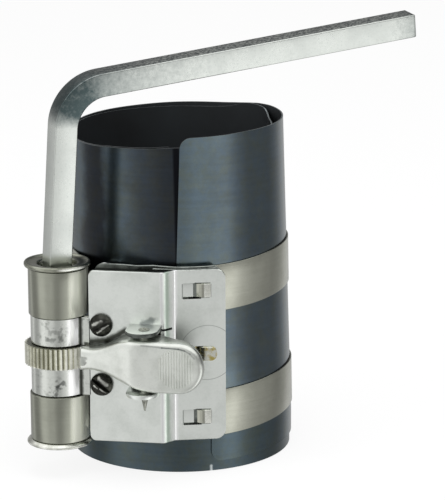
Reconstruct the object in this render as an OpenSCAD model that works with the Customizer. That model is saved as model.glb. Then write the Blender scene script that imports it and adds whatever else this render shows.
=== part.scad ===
// Piston ring compressor: a coiled steel sleeve, two straps that wind on a ratchet spool, a bracket,
// a release lever and a loose square key. Millimetres, +Z up.
// Origin: on the sleeve's axis at its bottom rim. The bracket faces -Y.

/* [Sleeve] */
// Width of the sleeve's strip, which is the height of the coiled sleeve
strip_w = 89; // [75:1:110]
// Thickness of the sleeve's strip
strip_t = 0.4; // [0.3:0.05:0.6]
// Outside diameter of the coiled sleeve at its bottom rim
sleeve_bottom_d = 61.4; // [57:0.2:72]
// Outside diameter of the coiled sleeve at its top rim
sleeve_top_d = 58.8; // [52:0.2:61]
// Height of the straight land above the bottom rim
land_h = 6; // [3:0.5:9]
// Height by which the outer wrap stands above the inner coil
lap_rise = 3.0; // [0.4:0.2:4]
// Free end of the outer wrap, in degrees to the right of the front
free_end_turn = 8.4; // [0:0.2:16]
// Corner radius of the outer wrap's free end
free_corner_r = 3; // [1:0.2:5]

/* [Straps] */
// Width of each strap
strap_w = 12.6; // [10:0.2:15]
// Thickness of each strap
strap_t = 0.45; // [0.3:0.05:0.6]
// Height of the lower strap's lower edge above the bottom rim
lower_strap_z = 10; // [8:0.5:14]
// Length of the bent-over end of a strap's hook
hook_len = 3.2; // [2:0.1:4]
// Height of a strap's hook tongue
hook_h = 3.7; // [2.5:0.1:5]

/* [Bracket] */
// Thickness of the front plate's sheet
sheet_t = 1.2; // [0.9:0.1:1.6]
// Thickness of the saddle plate
saddle_t = 1; // [0.7:0.1:1.4]
// Left edge of the front plate, measured left from the sleeve's axis
plate_left = 18.3; // [17:0.1:18.6]
// Depth of the joggle between the plate's two levels
joggle_d = 3; // [2:0.1:4]
// Width over which the joggle steps back
joggle_w = 2.6; // [2:0.1:4]
// Place where the joggle starts, measured right from the sleeve's axis
joggle_x = 1.4; // [1:0.1:3]
// Width of the plate's right part
right_w = 13.9; // [12:0.1:16]
// Tilt of the plate's right part, which lies along the sleeve
right_tilt = 16; // [14:0.5:18]
// Corner radius of the plates
plate_corner_r = 2.6; // [1:0.1:4]

/* [Spool] */
// Spool axis, measured left from the sleeve's axis
spool_left = 27.5; // [26.8:0.1:30]
// Depth of the spool axis behind the plate's front face
bearing_set = 4; // [3.4:0.1:4.4]
// Radius of the spindle
spindle_r = 6.1; // [5.8:0.05:6.4]
// Outside radius of the wound straps
coil_r = 8.1; // [7.8:0.05:8.5]
// Outside radius of the rolled bearing knuckles
knuckle_r = 7.4; // [7.2:0.05:8]
// Height of a knuckle
knuckle_h = 7.7; // [7:0.1:9]
// Radius of the spool's flanges
flange_r = 8.9; // [8.6:0.05:9.1]
// Thickness of the spool's flanges
flange_t = 1.4; // [1:0.1:2]
// Radius of the hole in the top flange
flange_hole_r = 5.3; // [5.1:0.05:5.6]

/* [Ratchet] */
// Number of ratchet teeth
tooth_n = 40; // [36:1:44]
// Tip radius of the ratchet wheel
ratchet_r = 9.1; // [8.9:0.05:9.4]
// Depth of the ratchet teeth
tooth_d = 0.8; // [0.7:0.05:0.9]
// Height of the ratchet wheel
ratchet_h = 5.7; // [5:0.1:7]

/* [Lever] */
// Distance from the plate's front face to the lever's front face
lever_stand = 9.5; // [9:0.1:11]
// Thickness of the lever's sheet
lever_t = 1.2; // [0.8:0.1:1.4]
// Radius of the thumb pad
pad_r = 7; // [6.4:0.1:7.4]
// Place of the thumb pad's centre, measured right from the sleeve's axis
pad_x = 7; // [5:0.2:9]
// Place of the pivot pin, measured left from the sleeve's axis
pin_left = 2.4; // [1.5:0.1:3]
// Distance of the pivot pin in front of the plate's front face
pin_stand = 5.6; // [5:0.1:6.4]
// Radius of the pivot pin
pin_r = 1.1; // [0.9:0.05:1.3]
// Length of the pin's pointed end
pin_point = 4; // [2:0.2:6]
// Angle by which the lever turns from rest to engage a tooth
engage_a = 4; // [3.6:0.1:4.2]
// Number of ribs on the thumb pad
rib_n = 13; // [7:2:15]
// Distance between ribs
rib_pitch = 0.68; // [0.5:0.02:0.72]

/* [Screws] */
// Place of the clamp screws, measured left from the sleeve's axis
screw_left = 15; // [14:0.1:15]
// Radius of a clamp screw's head
head_r = 3.1; // [2.6:0.1:3.3]
// Height of a clamp screw's head
head_h = 2; // [1.5:0.1:2.4]
// Radius of a clamp screw's shank
shank_r = 1.5; // [1.2:0.1:1.7]
// Thickness of a clamp nut
nut_t = 2.2; // [1.6:0.1:2.6]

/* [Key] */
// Side of the key's square bar
key_s = 6.3; // [5.8:0.1:6.35]
// Length of the key's arm from the bend's corner
key_arm = 100.8; // [60:0.2:130]
// Height of the bend's corner above the spool's top
key_h = 48.2; // [45:0.1:60]
// Bend radius on the bar's centre line
key_bend_r = 11.5; // [8:0.1:14]
// Rise of the arm above a right angle
key_rise = 8.2; // [0:0.2:12]
// Direction of the arm, in degrees from +X
key_yaw = 31.7; // [0:0.1:60]
// Lean of the key to the right in its loose socket
key_lean_side = 3.9; // [0:0.1:4]
// Lean of the key to the front in its loose socket
key_lean_front = 2.4; // [0:0.1:2.5]
// Side of the square socket
socket_s = 7.7; // [7.5:0.05:7.8]
// Depth of the square socket
socket_depth = 11.4; // [9:0.1:12]

/* [Hidden] */
$fn = 96;

// Clearances
layer_gap = 0.06;
strap_seat = 0.3324;
saddle_seat = 0.05;
plate_seat = 0.05;
side_gap = 0.2;
run_gap = 0.07;
press_gap = 0.02;
hook_gap = 0.08;
slot_gap = 0.3;
tail_gap = 0.1;
coil_layer_gap = 0.03;
coil_seat = 0.05;
coil_run = 0.2;
pin_run = 0.06;
nose_gap = 0.3;
foot_gap = 0.4;
over = 1;
corner_break = 10;

// Sleeve
lap = strip_t + layer_gap;
halves = 4;
taper = (sleeve_bottom_d - sleeve_top_d) / 2;
free_a = -90 + free_end_turn;
sleeve_r = sleeve_bottom_d / 2;
function dir(a) = [cos(a), sin(a)];
function rise(k) = max(0, 2 - k) * lap_rise / 2;
function cone_r(z) = sleeve_r - taper * max(0, z - land_h) / (strip_w - land_h);

// Heights of the spool's stack, from the bottom flange up
lower_knuckle_z = lower_strap_z + strap_w + side_gap;
ratchet_z = lower_knuckle_z + knuckle_h + side_gap;
upper_knuckle_z = ratchet_z + ratchet_h + side_gap;
upper_strap_z = upper_knuckle_z + knuckle_h + side_gap;
spool_top = upper_strap_z + strap_w + side_gap;
spool_bottom = lower_strap_z - side_gap;
lever_z = ratchet_z + ratchet_h / 2;
plate_z = lower_strap_z + side_gap;
plate_h = upper_strap_z + strap_w + side_gap - plate_z;

// Depths of the bracket, outwards from the sleeve
function strap_in(z) = cone_r(z - lap_rise) + lap / 2 + strap_seat;
saddle_in = strap_in(lower_strap_z) + strap_t + saddle_seat;
saddle_out = saddle_in + saddle_t;
right_front = saddle_out + plate_seat + sheet_t;
joggle_end_x = joggle_x + joggle_w;
right_x0 = (joggle_end_x - right_front * sin(right_tilt)) / cos(right_tilt);
plate_front = (right_front - joggle_end_x * sin(right_tilt)) / cos(right_tilt) + joggle_d;
saddle_half = 33;

// Spool axis and strap tangents
spool = [-spool_left, -(plate_front - bearing_set)];
bore_r = spindle_r + run_gap;
spool_dist = norm(spool);
spool_a = atan2(spool[1], spool[0]);
tangent_r = coil_r + coil_run + strap_t / 2;
function leave_a(z) = spool_a - acos((strap_in(z) + strap_t / 2 + tangent_r) / spool_dist);
run_t = strap_t - 2 * press_gap;
coil_lap = strap_t + coil_layer_gap;
coil_halves = floor((coil_r - spindle_r - coil_seat - strap_t) / (coil_lap / 2));
stub_r = 4;

// Hooks and slots on the plate's right part
hook_x = 1.2;
slot_w = 4.6;
slot_h = hook_h + 2 * slot_gap;
anchor_x = 1.6;
anchor_len = 4;
anchor_t = 0.5;
anchor_foot = 5;

// Pin, lugs and lever
pin = [-pin_left, -plate_front - pin_stand];
lug_r = 4.5;
lug_gap = 1.1;
pad_up = 0.3;
lever_top = lever_z + pad_r + pad_up;
lever_bottom = lever_z - pad_r + pad_up;
upper_lug_z = lever_top + lug_gap;
lower_lug_z = lever_bottom - lug_gap / 2 - sheet_t;
window_half = 5;
nose_a = -39;
nose = spool + (ratchet_r + nose_gap) * dir(nose_a);
nose_w = 2.6;
neck_up = 3.6;
neck_down = 2.6;
pad_lip = 2.2;
pad_kick = 0.4;
point_r = pin_r / 6;
rib_w = 0.36;
rib_proud = 0.3;
rib_margin = 1.3;
spring_r = 2;
spring_wire = 0.35;
spring_turns = 6;
spring_sides = 8;
spring_steps = 12;

// Corners of the lever's front outline
top_fall_x = pin[0] - 4.1;
top_neck_x = pin[0] - 11;
top_neck_z = lever_z + neck_up + 1;
low_neck_x = pin[0] - 14;
low_neck_z = lever_z - neck_down + 1.1;
low_mid_x = pin[0] - 9.1;
low_mid_z = lever_z - neck_down - 0.4;
low_rise_x = pin[0] - 4.2;
low_rise_z = lever_z - neck_down - 2.6;
low_pad_x = pin[0] + 1.1;

// Corners of the lever's plan
face_x = pin[0] - 2.6;
flange_root_x = pin[0] + 4;
flange_end_x = pin[0] + 8.4;

// Ratchet phase: a tooth's steep face stands just behind the engaged nose
tooth_a = 360 / tooth_n;
steep_a = 1;
nose_lead = 0.38;
engaged_nose = pin + [
    (nose - pin)[0] * cos(engage_a) + (nose - pin)[1] * sin(engage_a),
    (nose - pin)[1] * cos(engage_a) - (nose - pin)[0] * sin(engage_a)];
engaged_a = atan2((engaged_nose - spool)[1], (engaged_nose - spool)[0]);
ratchet_phase = engaged_a - nose_lead * tooth_a;

// Clamp screws
screw_x = -screw_left;
upper_screw_up = 5.9;
lower_screw_up = 3.3;
upper_screw_z = upper_knuckle_z + upper_screw_up;
lower_screw_z = lower_knuckle_z + lower_screw_up;
upper_slot_turn = 30;
lower_slot_turn = -37;
screw_slot_w = 0.8;
screw_slot_d = 0.9;
nut_ratio = 2.1;
nut_r = nut_ratio * shank_r;
nut_y = -plate_front + 2 * sheet_t + tail_gap;
tail_margin = 3.4;
screw_end = 0.6;

// Key
key_pivot_down = 4.6;
key_pivot = spool_top - key_pivot_down;
key_foot = spool_top - socket_depth + foot_gap;
key_turn = 90 - key_rise;
key_reach = key_bend_r * tan(key_turn / 2);

// Shared shapes

// Curved band of a given inner radius, thickness and height
module band(r, t, h, a0, sweep) {
    rotate([0, 0, a0]) rotate_extrude(angle = sweep) translate([r, 0]) square([t, h]);
}

// What a rounded corner removes, at the origin, for a corner of radius r that points to -Y and +Z;
// the arc meets the edges at a slight break
module corner_cut(r, depth) {
    centre = r * cos(corner_break);
    difference() {
        translate([-depth / 2, -over, -centre]) cube([depth, centre + over, centre + over]);
        translate([-depth, centre, -centre]) rotate([0, 90, 0]) cylinder(r = r, h = 2 * depth);
    }
}

// Frame of the plate's right part: +X along the plate, -Y outwards, its front face at y = 0
module on_right() {
    rotate([0, 0, right_tilt]) translate([0, -right_front, 0]) children();
}

module at_spool(z) {
    translate([spool[0], spool[1], z]) children();
}

// Sleeve

module sleeve_half(k) {
    r = sleeve_r - k * lap / 2;
    shift = (k % 2 == 0) ? lap / 2 * dir(free_a) : [0, 0];
    translate([shift[0], shift[1], rise(k)]) rotate([0, 0, free_a + 180 * k]) rotate_extrude(angle = 180)
        polygon([[r - strip_t, 0], [r, 0], [r, land_h], [r - taper, strip_w],
            [r - taper - strip_t, strip_w], [r - strip_t, land_h]]);
}

module sleeve() {
    color("#2c3642") difference() {
        for (k = [0 : halves - 1]) sleeve_half(k);
        rotate([0, 0, free_a]) translate([sleeve_r - taper, 0, rise(0) + strip_w])
            corner_cut(free_corner_r, 4 * strip_t);
        rotate([0, 0, free_a]) translate([sleeve_r + lap / 2, 0, rise(0)]) mirror([0, 0, 1])
            corner_cut(free_corner_r, 3 * strip_t);
    }
}

// Straps

// Running part of a strap: hook through the plates, band round the sleeve, straight run to the spool
module strap(z) {
    r = strap_in(z);
    mid = r + strap_t / 2;
    start_a = -90 + right_tilt + asin(hook_x / mid);
    end_a = leave_a(z);
    from = mid * dir(end_a);
    to = spool - tangent_r * dir(end_a);
    run = to - from;
    translate([0, 0, z]) {
        band(r, strap_t, strap_w, start_a, end_a + 360 - start_a);
        translate([from[0], from[1], 0]) rotate([0, 0, atan2(run[1], run[0])])
            translate([-strap_t, -run_t / 2, 0]) cube([norm(run) + strap_t, run_t, strap_w]);
        on_right() translate([hook_x, -hook_gap - strap_t, (strap_w - hook_h) / 2]) {
            cube([strap_t, right_front - r - strap_t / 4 + hook_gap + strap_t, hook_h]);
            cube([hook_len, strap_t, hook_h]);
        }
    }
}

// Wound length of a strap: a spiral of half rings that starts where the strap meets the spool
module strap_coil(z) {
    start_a = leave_a(z) + 180;
    at_spool(z) for (k = [0 : coil_halves - 1]) {
        shift = (k % 2 == 0) ? [0, 0] : coil_lap / 2 * dir(start_a - 180);
        translate([shift[0], shift[1], 0])
            band(coil_r - k * coil_lap / 2 - strap_t, strap_t, strap_w, start_a - 180 * (k + 1), 180);
    }
}

module upper_strap() { color("#a8a498") strap(upper_strap_z); }
module lower_strap() { color("#a8a498") strap(lower_strap_z); }
module upper_strap_coil() { color("#8f8b7e") strap_coil(upper_strap_z); }
module lower_strap_coil() { color("#8f8b7e") strap_coil(lower_strap_z); }

// Bracket

// Slot for a strap's hook, cut to the right of a given start
module hook_slot(z, start, width) {
    on_right() translate([start, -over, z + (strap_w - slot_h) / 2])
        cube([width, right_front - saddle_in + 2 * over, slot_h]);
}

module anchor_slot(start, width) {
    on_right() translate([start, -over, lever_z - slot_h / 2])
        cube([width, right_front - saddle_in + 2 * over, slot_h]);
}

module saddle_plate() {
    color("#c4c8c4") difference() {
        translate([0, 0, plate_z]) band(saddle_in, saddle_t, plate_h, -90 - saddle_half, 2 * saddle_half);
        for (z = [lower_strap_z, upper_strap_z])
            hook_slot(z, hook_x - slot_gap, strap_t + 2 * slot_gap);
        anchor_slot(anchor_x - slot_gap, anchor_t + 2 * slot_gap);
        for (side = [0, 1], low = [0, 1]) mirror([side, 0, 0])
            rotate([0, 0, -90 - saddle_half])
                translate([saddle_out, 0, low == 1 ? plate_z : plate_z + plate_h])
                mirror([0, 0, low]) corner_cut(plate_corner_r, 8 * saddle_t);
    }
}

// Rolled bearing with the tongue that joins it to the plate and the tail that returns behind the plate
module knuckle(z, screw_z) {
    tongue_x = spool[0] + (spindle_r + knuckle_r) / 2 - sheet_t;
    tail_y = -plate_front + sheet_t + tail_gap;
    tail_end = screw_x + tail_margin;
    translate([spool[0], spool[1], z]) cylinder(r = knuckle_r, h = knuckle_h);
    translate([tongue_x, -plate_front, z]) cube([-plate_left - tongue_x, sheet_t, knuckle_h]);
    translate([tongue_x + sheet_t / 2, tail_y, z])
        cube([tail_end - tongue_x - sheet_t / 2, sheet_t, knuckle_h]);
    translate([-plate_left, tail_y, z])
        cube([tail_end + plate_left, sheet_t, max(knuckle_h, screw_z + tail_margin - z)]);
}

// Ear lanced out of the plate for the pivot pin
module lug(z) {
    translate([pin[0], pin[1], z]) cylinder(r = lug_r, h = sheet_t);
    translate([pin[0] - lug_r, pin[1], z]) cube([2 * lug_r, pin_stand + sheet_t / 2, sheet_t]);
}

module front_sheet() {
    turn = [[cos(right_tilt), -sin(right_tilt)], [sin(right_tilt), cos(right_tilt)]];
    step_front = turn * [right_x0, -right_front];
    step_back = turn * [right_x0, -right_front + sheet_t];
    translate([-plate_left, -plate_front, plate_z]) cube([joggle_x + plate_left, sheet_t, plate_h]);
    translate([0, 0, plate_z]) linear_extrude(plate_h)
        polygon([[joggle_x, -plate_front], step_front, step_back, [joggle_x, -plate_front + sheet_t]]);
    on_right() translate([right_x0, 0, plate_z]) cube([right_w, sheet_t, plate_h]);
}

module front_plate() {
    color("#c9cdc9") difference() {
        union() {
            difference() {
                front_sheet();
                translate([pin[0] - window_half, -plate_front - over, lower_lug_z + sheet_t])
                    cube([joggle_x + pin_left + window_half, sheet_t + 2 * over,
                        upper_lug_z - lower_lug_z - sheet_t]);
                for (low = [0, 1]) {
                    edge_z = low == 1 ? plate_z : plate_z + plate_h;
                    on_right() translate([right_x0 + right_w, 0, edge_z]) mirror([0, 0, low])
                        rotate([0, 0, 90]) corner_cut(plate_corner_r, 6 * sheet_t);
                    translate([-plate_left, -plate_front, edge_z]) mirror([0, 0, low])
                        rotate([0, 0, -90]) corner_cut(plate_corner_r / 2, 6 * sheet_t);
                }
            }
            knuckle(upper_knuckle_z, upper_screw_z);
            knuckle(lower_knuckle_z, lower_screw_z);
            lug(upper_lug_z);
            lug(lower_lug_z);
        }
        for (z = [upper_knuckle_z, lower_knuckle_z])
            at_spool(z - over) cylinder(r = bore_r, h = knuckle_h + 2 * over);
        for (z = [upper_screw_z, lower_screw_z])
            translate([screw_x, -plate_front - over, z]) rotate([-90, 0, 0])
                cylinder(r = shank_r + tail_gap, h = 3 * sheet_t + 2 * over);
        translate([pin[0], pin[1], lower_lug_z - over])
            cylinder(r = pin_r + press_gap, h = upper_lug_z - lower_lug_z + sheet_t + 2 * over);
        for (z = [lower_strap_z, upper_strap_z])
            hook_slot(z, hook_x - slot_w + strap_t + slot_gap, slot_w);
        anchor_slot(anchor_x - slot_gap, anchor_t + 2 * slot_gap);
    }
}

// Tab through the middle slot whose foot lies on the sleeve's outer wrap
module sleeve_anchor() {
    foot_y = right_front - saddle_in + slot_gap;
    color("#b9a468") on_right() translate([anchor_x, 0, lever_z - hook_h / 2]) {
        translate([0, -hook_gap - anchor_t, 0]) cube([anchor_len, anchor_t, hook_h]);
        translate([0, -hook_gap - anchor_t, 0]) cube([anchor_t, foot_y + hook_gap + 2 * anchor_t, hook_h]);
        translate([-anchor_foot / 2, foot_y, 0]) cube([anchor_foot, anchor_t, hook_h]);
    }
}

// Clamp screws and nuts

module clamp_screw(z, slot_turn) {
    ball_r = (head_r * head_r + head_h * head_h) / (2 * head_h);
    color("#4a4a48") translate([screw_x, -plate_front, z]) rotate([90, 0, 0]) difference() {
        union() {
            intersection() {
                translate([0, 0, head_h - ball_r]) sphere(r = ball_r);
                cylinder(r = head_r, h = head_h);
            }
            translate([0, 0, -(nut_y + plate_front + nut_t + screw_end)])
                cylinder(r = shank_r, h = nut_y + plate_front + nut_t + screw_end + head_h / 4);
        }
        rotate([0, 0, slot_turn]) translate([-head_r - over, -screw_slot_w / 2, head_h - screw_slot_d])
            cube([2 * (head_r + over), screw_slot_w, head_h]);
    }
}

module clamp_nut(z) {
    color("#8a8a86") translate([screw_x, nut_y, z]) rotate([-90, 0, 0]) difference() {
        cylinder(r = nut_r, h = nut_t, $fn = 6);
        translate([0, 0, -over]) cylinder(r = shank_r + press_gap, h = nut_t + 2 * over);
    }
}

module upper_clamp_screw() { clamp_screw(upper_screw_z, upper_slot_turn); }
module lower_clamp_screw() { clamp_screw(lower_screw_z, lower_slot_turn); }
module upper_clamp_nut() { clamp_nut(upper_screw_z); }
module lower_clamp_nut() { clamp_nut(lower_screw_z); }

// Spool

module spindle() {
    color("#8c8c86") difference() {
        union() {
            at_spool(spool_bottom) cylinder(r = spindle_r, h = spool_top - spool_bottom);
            at_spool(spool_bottom - flange_t) cylinder(r = stub_r, h = flange_t + over);
        }
        at_spool(spool_top - socket_depth) rotate([0, 0, key_yaw])
            translate([-socket_s / 2, -socket_s / 2, 0]) cube([socket_s, socket_s, socket_depth + over]);
    }
}

module flange(z, hole_r) {
    color("#85857c") at_spool(z) difference() {
        cylinder(r = flange_r, h = flange_t);
        translate([0, 0, -over]) cylinder(r = hole_r, h = flange_t + 2 * over);
    }
}

module top_flange() { flange(spool_top, flange_hole_r); }
module bottom_flange() { flange(spool_bottom - flange_t, stub_r + press_gap); }

module ratchet_wheel() {
    root_r = ratchet_r - tooth_d;
    color("#9a9a92") at_spool(ratchet_z) difference() {
        linear_extrude(ratchet_h) polygon([for (i = [0 : tooth_n - 1], root = [0, 1])
            (root == 1 ? root_r : ratchet_r) * dir(ratchet_phase + i * tooth_a + root * steep_a)]);
        translate([0, 0, -over]) cylinder(r = spindle_r + press_gap, h = ratchet_h + 2 * over);
    }
}

// Release lever, its pin and its spring

// Front outline of the lever, drawn in by a given inset
module lever_outline(inset) {
    pad_z = (lever_top + lever_bottom) / 2;
    translate([pad_x, pad_z]) circle(r = pad_r - inset);
    polygon([
        [pad_x, lever_top - inset], [top_fall_x, lever_top - inset],
        [top_neck_x, top_neck_z - inset], [nose[0] + inset, lever_z + neck_up - inset],
        [nose[0] + inset, lever_z - neck_down + inset], [low_neck_x, low_neck_z + inset],
        [low_mid_x, low_mid_z + inset], [low_rise_x, low_rise_z + inset],
        [low_pad_x, lever_bottom + inset], [pad_x, lever_bottom + inset]]);
}

// Plan of the lever, from its front face to its flanges' rear edges; the hollow starts one sheet behind
module lever_plan(inset, open) {
    front = -plate_front - lever_stand + inset;
    end_x = pad_x + pad_r;
    polygon([
        [nose[0], nose[1] - nose_w + inset], [face_x, front], [end_x, front - pad_kick],
        [end_x, front - pad_kick + pad_lip + open], [flange_end_x, front + pad_lip * 2 + open],
        [flange_root_x, nose[1] + open], [nose[0], nose[1] + open]]);
}

module lever_block(inset, open) {
    intersection() {
        linear_extrude(lever_top + over) lever_plan(inset, open);
        translate([0, nose[1] + open, 0]) rotate([90, 0, 0])
            linear_extrude(lever_stand + plate_front) lever_outline(inset);
    }
}

module release_lever() {
    pad_front = -plate_front - lever_stand - pad_kick;
    color("#d0d3cf") difference() {
        union() {
            difference() {
                lever_block(0, 0);
                lever_block(lever_t, over);
            }
            intersection() {
                translate([pad_x, pad_front + pad_kick + lever_t / 2, (lever_top + lever_bottom) / 2])
                    rotate([90, 0, 0]) cylinder(r = pad_r - rib_margin, h = pad_kick + lever_t);
                for (i = [0 : rib_n - 1])
                    translate([pad_x + (i - (rib_n - 1) / 2) * rib_pitch - rib_w / 2,
                        pad_front - rib_proud + pad_kick / 2, lever_bottom])
                        cube([rib_w, rib_proud + lever_t / 2, lever_top - lever_bottom]);
            }
        }
        translate([pin[0], pin[1], lever_bottom - over])
            cylinder(r = pin_r + pin_run, h = lever_top - lever_bottom + 2 * over);
    }
}

module pivot_pin() {
    color("#77776f") translate([pin[0], pin[1], 0]) {
        translate([0, 0, lower_lug_z - side_gap])
            cylinder(r = pin_r, h = upper_lug_z - lower_lug_z + sheet_t + 2 * side_gap);
        translate([0, 0, lower_lug_z - side_gap - pin_point])
            cylinder(r1 = point_r, r2 = pin_r, h = pin_point);
    }
}

// Torsion spring round the pin, one tube swept along a helix
module return_spring() {
    steps = spring_turns * spring_steps;
    z0 = lever_bottom + lever_t + side_gap + spring_wire;
    pitch = (lever_top - lever_bottom - 2 * (lever_t + side_gap + spring_wire)) / spring_turns;
    ring = [for (s = [0 : steps], j = [0 : spring_sides - 1])
        let (a = s * 360 / spring_steps, b = j * 360 / spring_sides, r = spring_r + spring_wire * cos(b))
        [pin[0] + r * cos(a), pin[1] + r * sin(a), z0 + pitch * s / spring_steps + spring_wire * sin(b)]];
    sides = [for (s = [0 : steps - 1], j = [0 : spring_sides - 1])
        let (n = (j + 1) % spring_sides)
        [s * spring_sides + j, s * spring_sides + n,
            (s + 1) * spring_sides + n, (s + 1) * spring_sides + j]];
    first = [for (j = [spring_sides - 1 : -1 : 0]) j];
    last = [for (j = [0 : spring_sides - 1]) steps * spring_sides + j];
    color("#6e6e68") polyhedron(points = ring, faces = concat(sides, [first, last]));
}

// Key

module key_bar() {
    half = key_s / 2;
    corner_z = spool_top + key_h - key_pivot;
    translate([-half, -half, key_foot - key_pivot])
        cube([key_s, key_s, corner_z - key_reach - key_foot + key_pivot]);
    translate([key_bend_r, 0, corner_z - key_reach]) rotate([90, 0, 0]) rotate([0, 0, 180 - key_turn])
        rotate_extrude(angle = key_turn) translate([key_bend_r - half, -half]) square(key_s);
    translate([0, 0, corner_z]) rotate([0, -key_rise, 0]) translate([key_reach, -half, -half])
        cube([key_arm - key_reach, key_s, key_s]);
}

module key_handle() {
    color("#c2c4be") at_spool(key_pivot) rotate([key_lean_front, key_lean_side, 0])
        rotate([0, 0, key_yaw]) key_bar();
}

sleeve();
upper_strap();
lower_strap();
upper_strap_coil();
lower_strap_coil();
saddle_plate();
front_plate();
sleeve_anchor();
upper_clamp_screw();
lower_clamp_screw();
upper_clamp_nut();
lower_clamp_nut();
spindle();
top_flange();
bottom_flange();
ratchet_wheel();
release_lever();
pivot_pin();
return_spring();
key_handle();
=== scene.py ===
"""Looks of a piston ring compressor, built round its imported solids."""

import math

import bmesh
import bpy
from mathutils import Matrix, Vector


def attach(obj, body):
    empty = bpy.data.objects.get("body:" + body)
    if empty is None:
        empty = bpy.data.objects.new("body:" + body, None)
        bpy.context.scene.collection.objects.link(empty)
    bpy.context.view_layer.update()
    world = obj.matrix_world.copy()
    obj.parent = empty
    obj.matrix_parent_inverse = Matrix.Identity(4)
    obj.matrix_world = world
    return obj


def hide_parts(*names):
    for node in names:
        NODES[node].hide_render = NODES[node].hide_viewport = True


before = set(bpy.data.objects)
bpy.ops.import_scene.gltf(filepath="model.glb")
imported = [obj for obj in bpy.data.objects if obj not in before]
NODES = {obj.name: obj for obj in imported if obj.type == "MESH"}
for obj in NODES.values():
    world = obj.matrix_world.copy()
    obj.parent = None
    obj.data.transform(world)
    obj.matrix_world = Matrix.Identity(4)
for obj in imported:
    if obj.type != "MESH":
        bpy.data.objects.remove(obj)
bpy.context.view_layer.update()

bl_info = {
    "name": "Piston Ring Compressor",
    "version": (1, 0, 0),
    "blender": (4, 5, 0),
    "location": "View3D > Sidebar > Ring Compressor",
    "description": "Builds the visible pieces of a ratchet piston ring compressor",
    "category": "Object",
}

MM = 0.001
TAU = 2 * math.pi

# Places that the pieces share, repeated from the part's source
SPOOL = Vector((-27.5, -33.22))
PIN = Vector((-2.4, -42.82))
PLATE_FRONT = -37.22
PLATE_LEFT = -18.3
PLATE_Z = (10.2, 57.3)
RIGHT_TILT = math.radians(16)
RIGHT_FRONT = 33.997
RIGHT_SPAN = (-5.587, 8.313)
LEVER_Z = 33.55
SCREW_X = -15.0
UPPER_SCREW_Z, LOWER_SCREW_Z = 42.5, 26.1
# Each clamp screw by name, with its height and the turn of its slot in degrees
SCREWS = (("upper", UPPER_SCREW_Z, 30), ("lower", LOWER_SCREW_Z, -37))
# Each strap by name, with the heights of its lower edge and of its hook
STRAPS = (("upper", 44.5, 51.6), ("lower", 10.0, 16.7))
STRAP_MIDDLE = 6.3
# Middles of the slots for the straps' hooks
SLOT_Z = (51.45, 16.55)
# Mid-line of the saddle plate
SADDLE_RADIUS = 32.247
# The sleeve's straight land at its foot, and the tapered wall above it
LAND, WALL = 6, 83
# Sections of a hook and of the anchor's tongue: along the plate, and behind its front face
HOOK = ((-3.0, 0.78), (-0.2, 0.72), (0.6, 0.5), (1.3, 0.0), (1.9, -0.3), (2.6, -0.4), (4.3, -0.37))
TONGUE = ((0.9, 2.4), (1.3, 1.4), (1.75, 0.3), (2.4, -0.3), (3.1, -0.38), (5.9, -0.36))
# Middle of the lever's thumb pad, seen from the front
PAD = Vector((7.0, 33.85))
# Plan angle of the strip's free end
FREE_END = math.radians(-81.6)
# Sizes of the strip that go to its node tree by name
STRIP_SIZES = ("Width", "Thickness", "Lap", "Rise", "Dip", "Skew", "Undercut", "Taper", "Lean", "Spring")
# Height of the outer wrap above the inner coil, as a share of the rise, by turns from the free end
RISE_KNOTS = (
    (0.0, 0.84), (0.07, 0.93), (0.13, 1.0), (0.3, 1.0), (0.34, 0.94), (0.37, 0.8), (0.4, 0.62), (0.44, 0.47),
    (0.5, 0.38), (0.6, 0.2), (0.7, 0.1), (1.0, 0.0),
    (1.2, 0.0), (1.27, 0.16), (1.32, 0.5), (1.36, 0.84), (1.39, 0.6), (1.42, 0.25), (1.48, 0.1), (1.66, 0.0),
    (2.0, 0.0),
)
# Dip of the top rim at the left, as a share, by the part of a turn
DIP_KNOTS = ((0.0, 0.0), (0.6, 0.0), (0.72, 0.5), (0.82, 1.0), (0.9, 0.62), (0.96, 0.3), (1.0, 0.0))
# How far the inner coil's top stands from the outer wrap, as a share of its spring, by the part of a turn
TOUCH_KNOTS = ((0.0, 1.0), (0.26, 1.0), (0.31, 0.6), (0.36, 0.2), (0.4, 0.5), (0.45, 1.0), (1.0, 1.0))
# A tooth's height by its share of the pitch: a steep face, then a slow climb to the next tip
TOOTH_KNOTS = ((0, 1), (0.13, 0.04), (0.22, 0.0), (0.9, 0.96), (1, 1))

# Share of the lighter tone along the strip, partly temper colour and partly painted reflection of bright and
# dark walls; the ramp runs over this many turns
TONE_RAMP_TURNS = 1.25
TEMPER_AND_REFLECTION_STOPS = (
    (0.02, 0.98), (0.037, 0.74), (0.052, 0.5), (0.068, 0.36), (0.086, 0.33), (0.107, 0.42), (0.132, 0.5),
    (0.3, 0.5), (0.55, 0.45), (0.64, 0.55), (0.666, 0.5), (0.68, 0.05), (0.703, 0.0), (0.712, 0.3),
    (0.721, 0.46), (0.73, 0.48), (0.747, 0.25), (0.762, 0.12), (0.79, 0.05),
)
# Spacing of pits, depth of the grain and fade of a tone with height, in millimetres
PIT_SPACING, GRAIN_DEPTH, FADE = 1.1, 0.05, 10
# Grain that runs along a rolled strap
ROLLED = (0.05, 0.05, 2.2)
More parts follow.
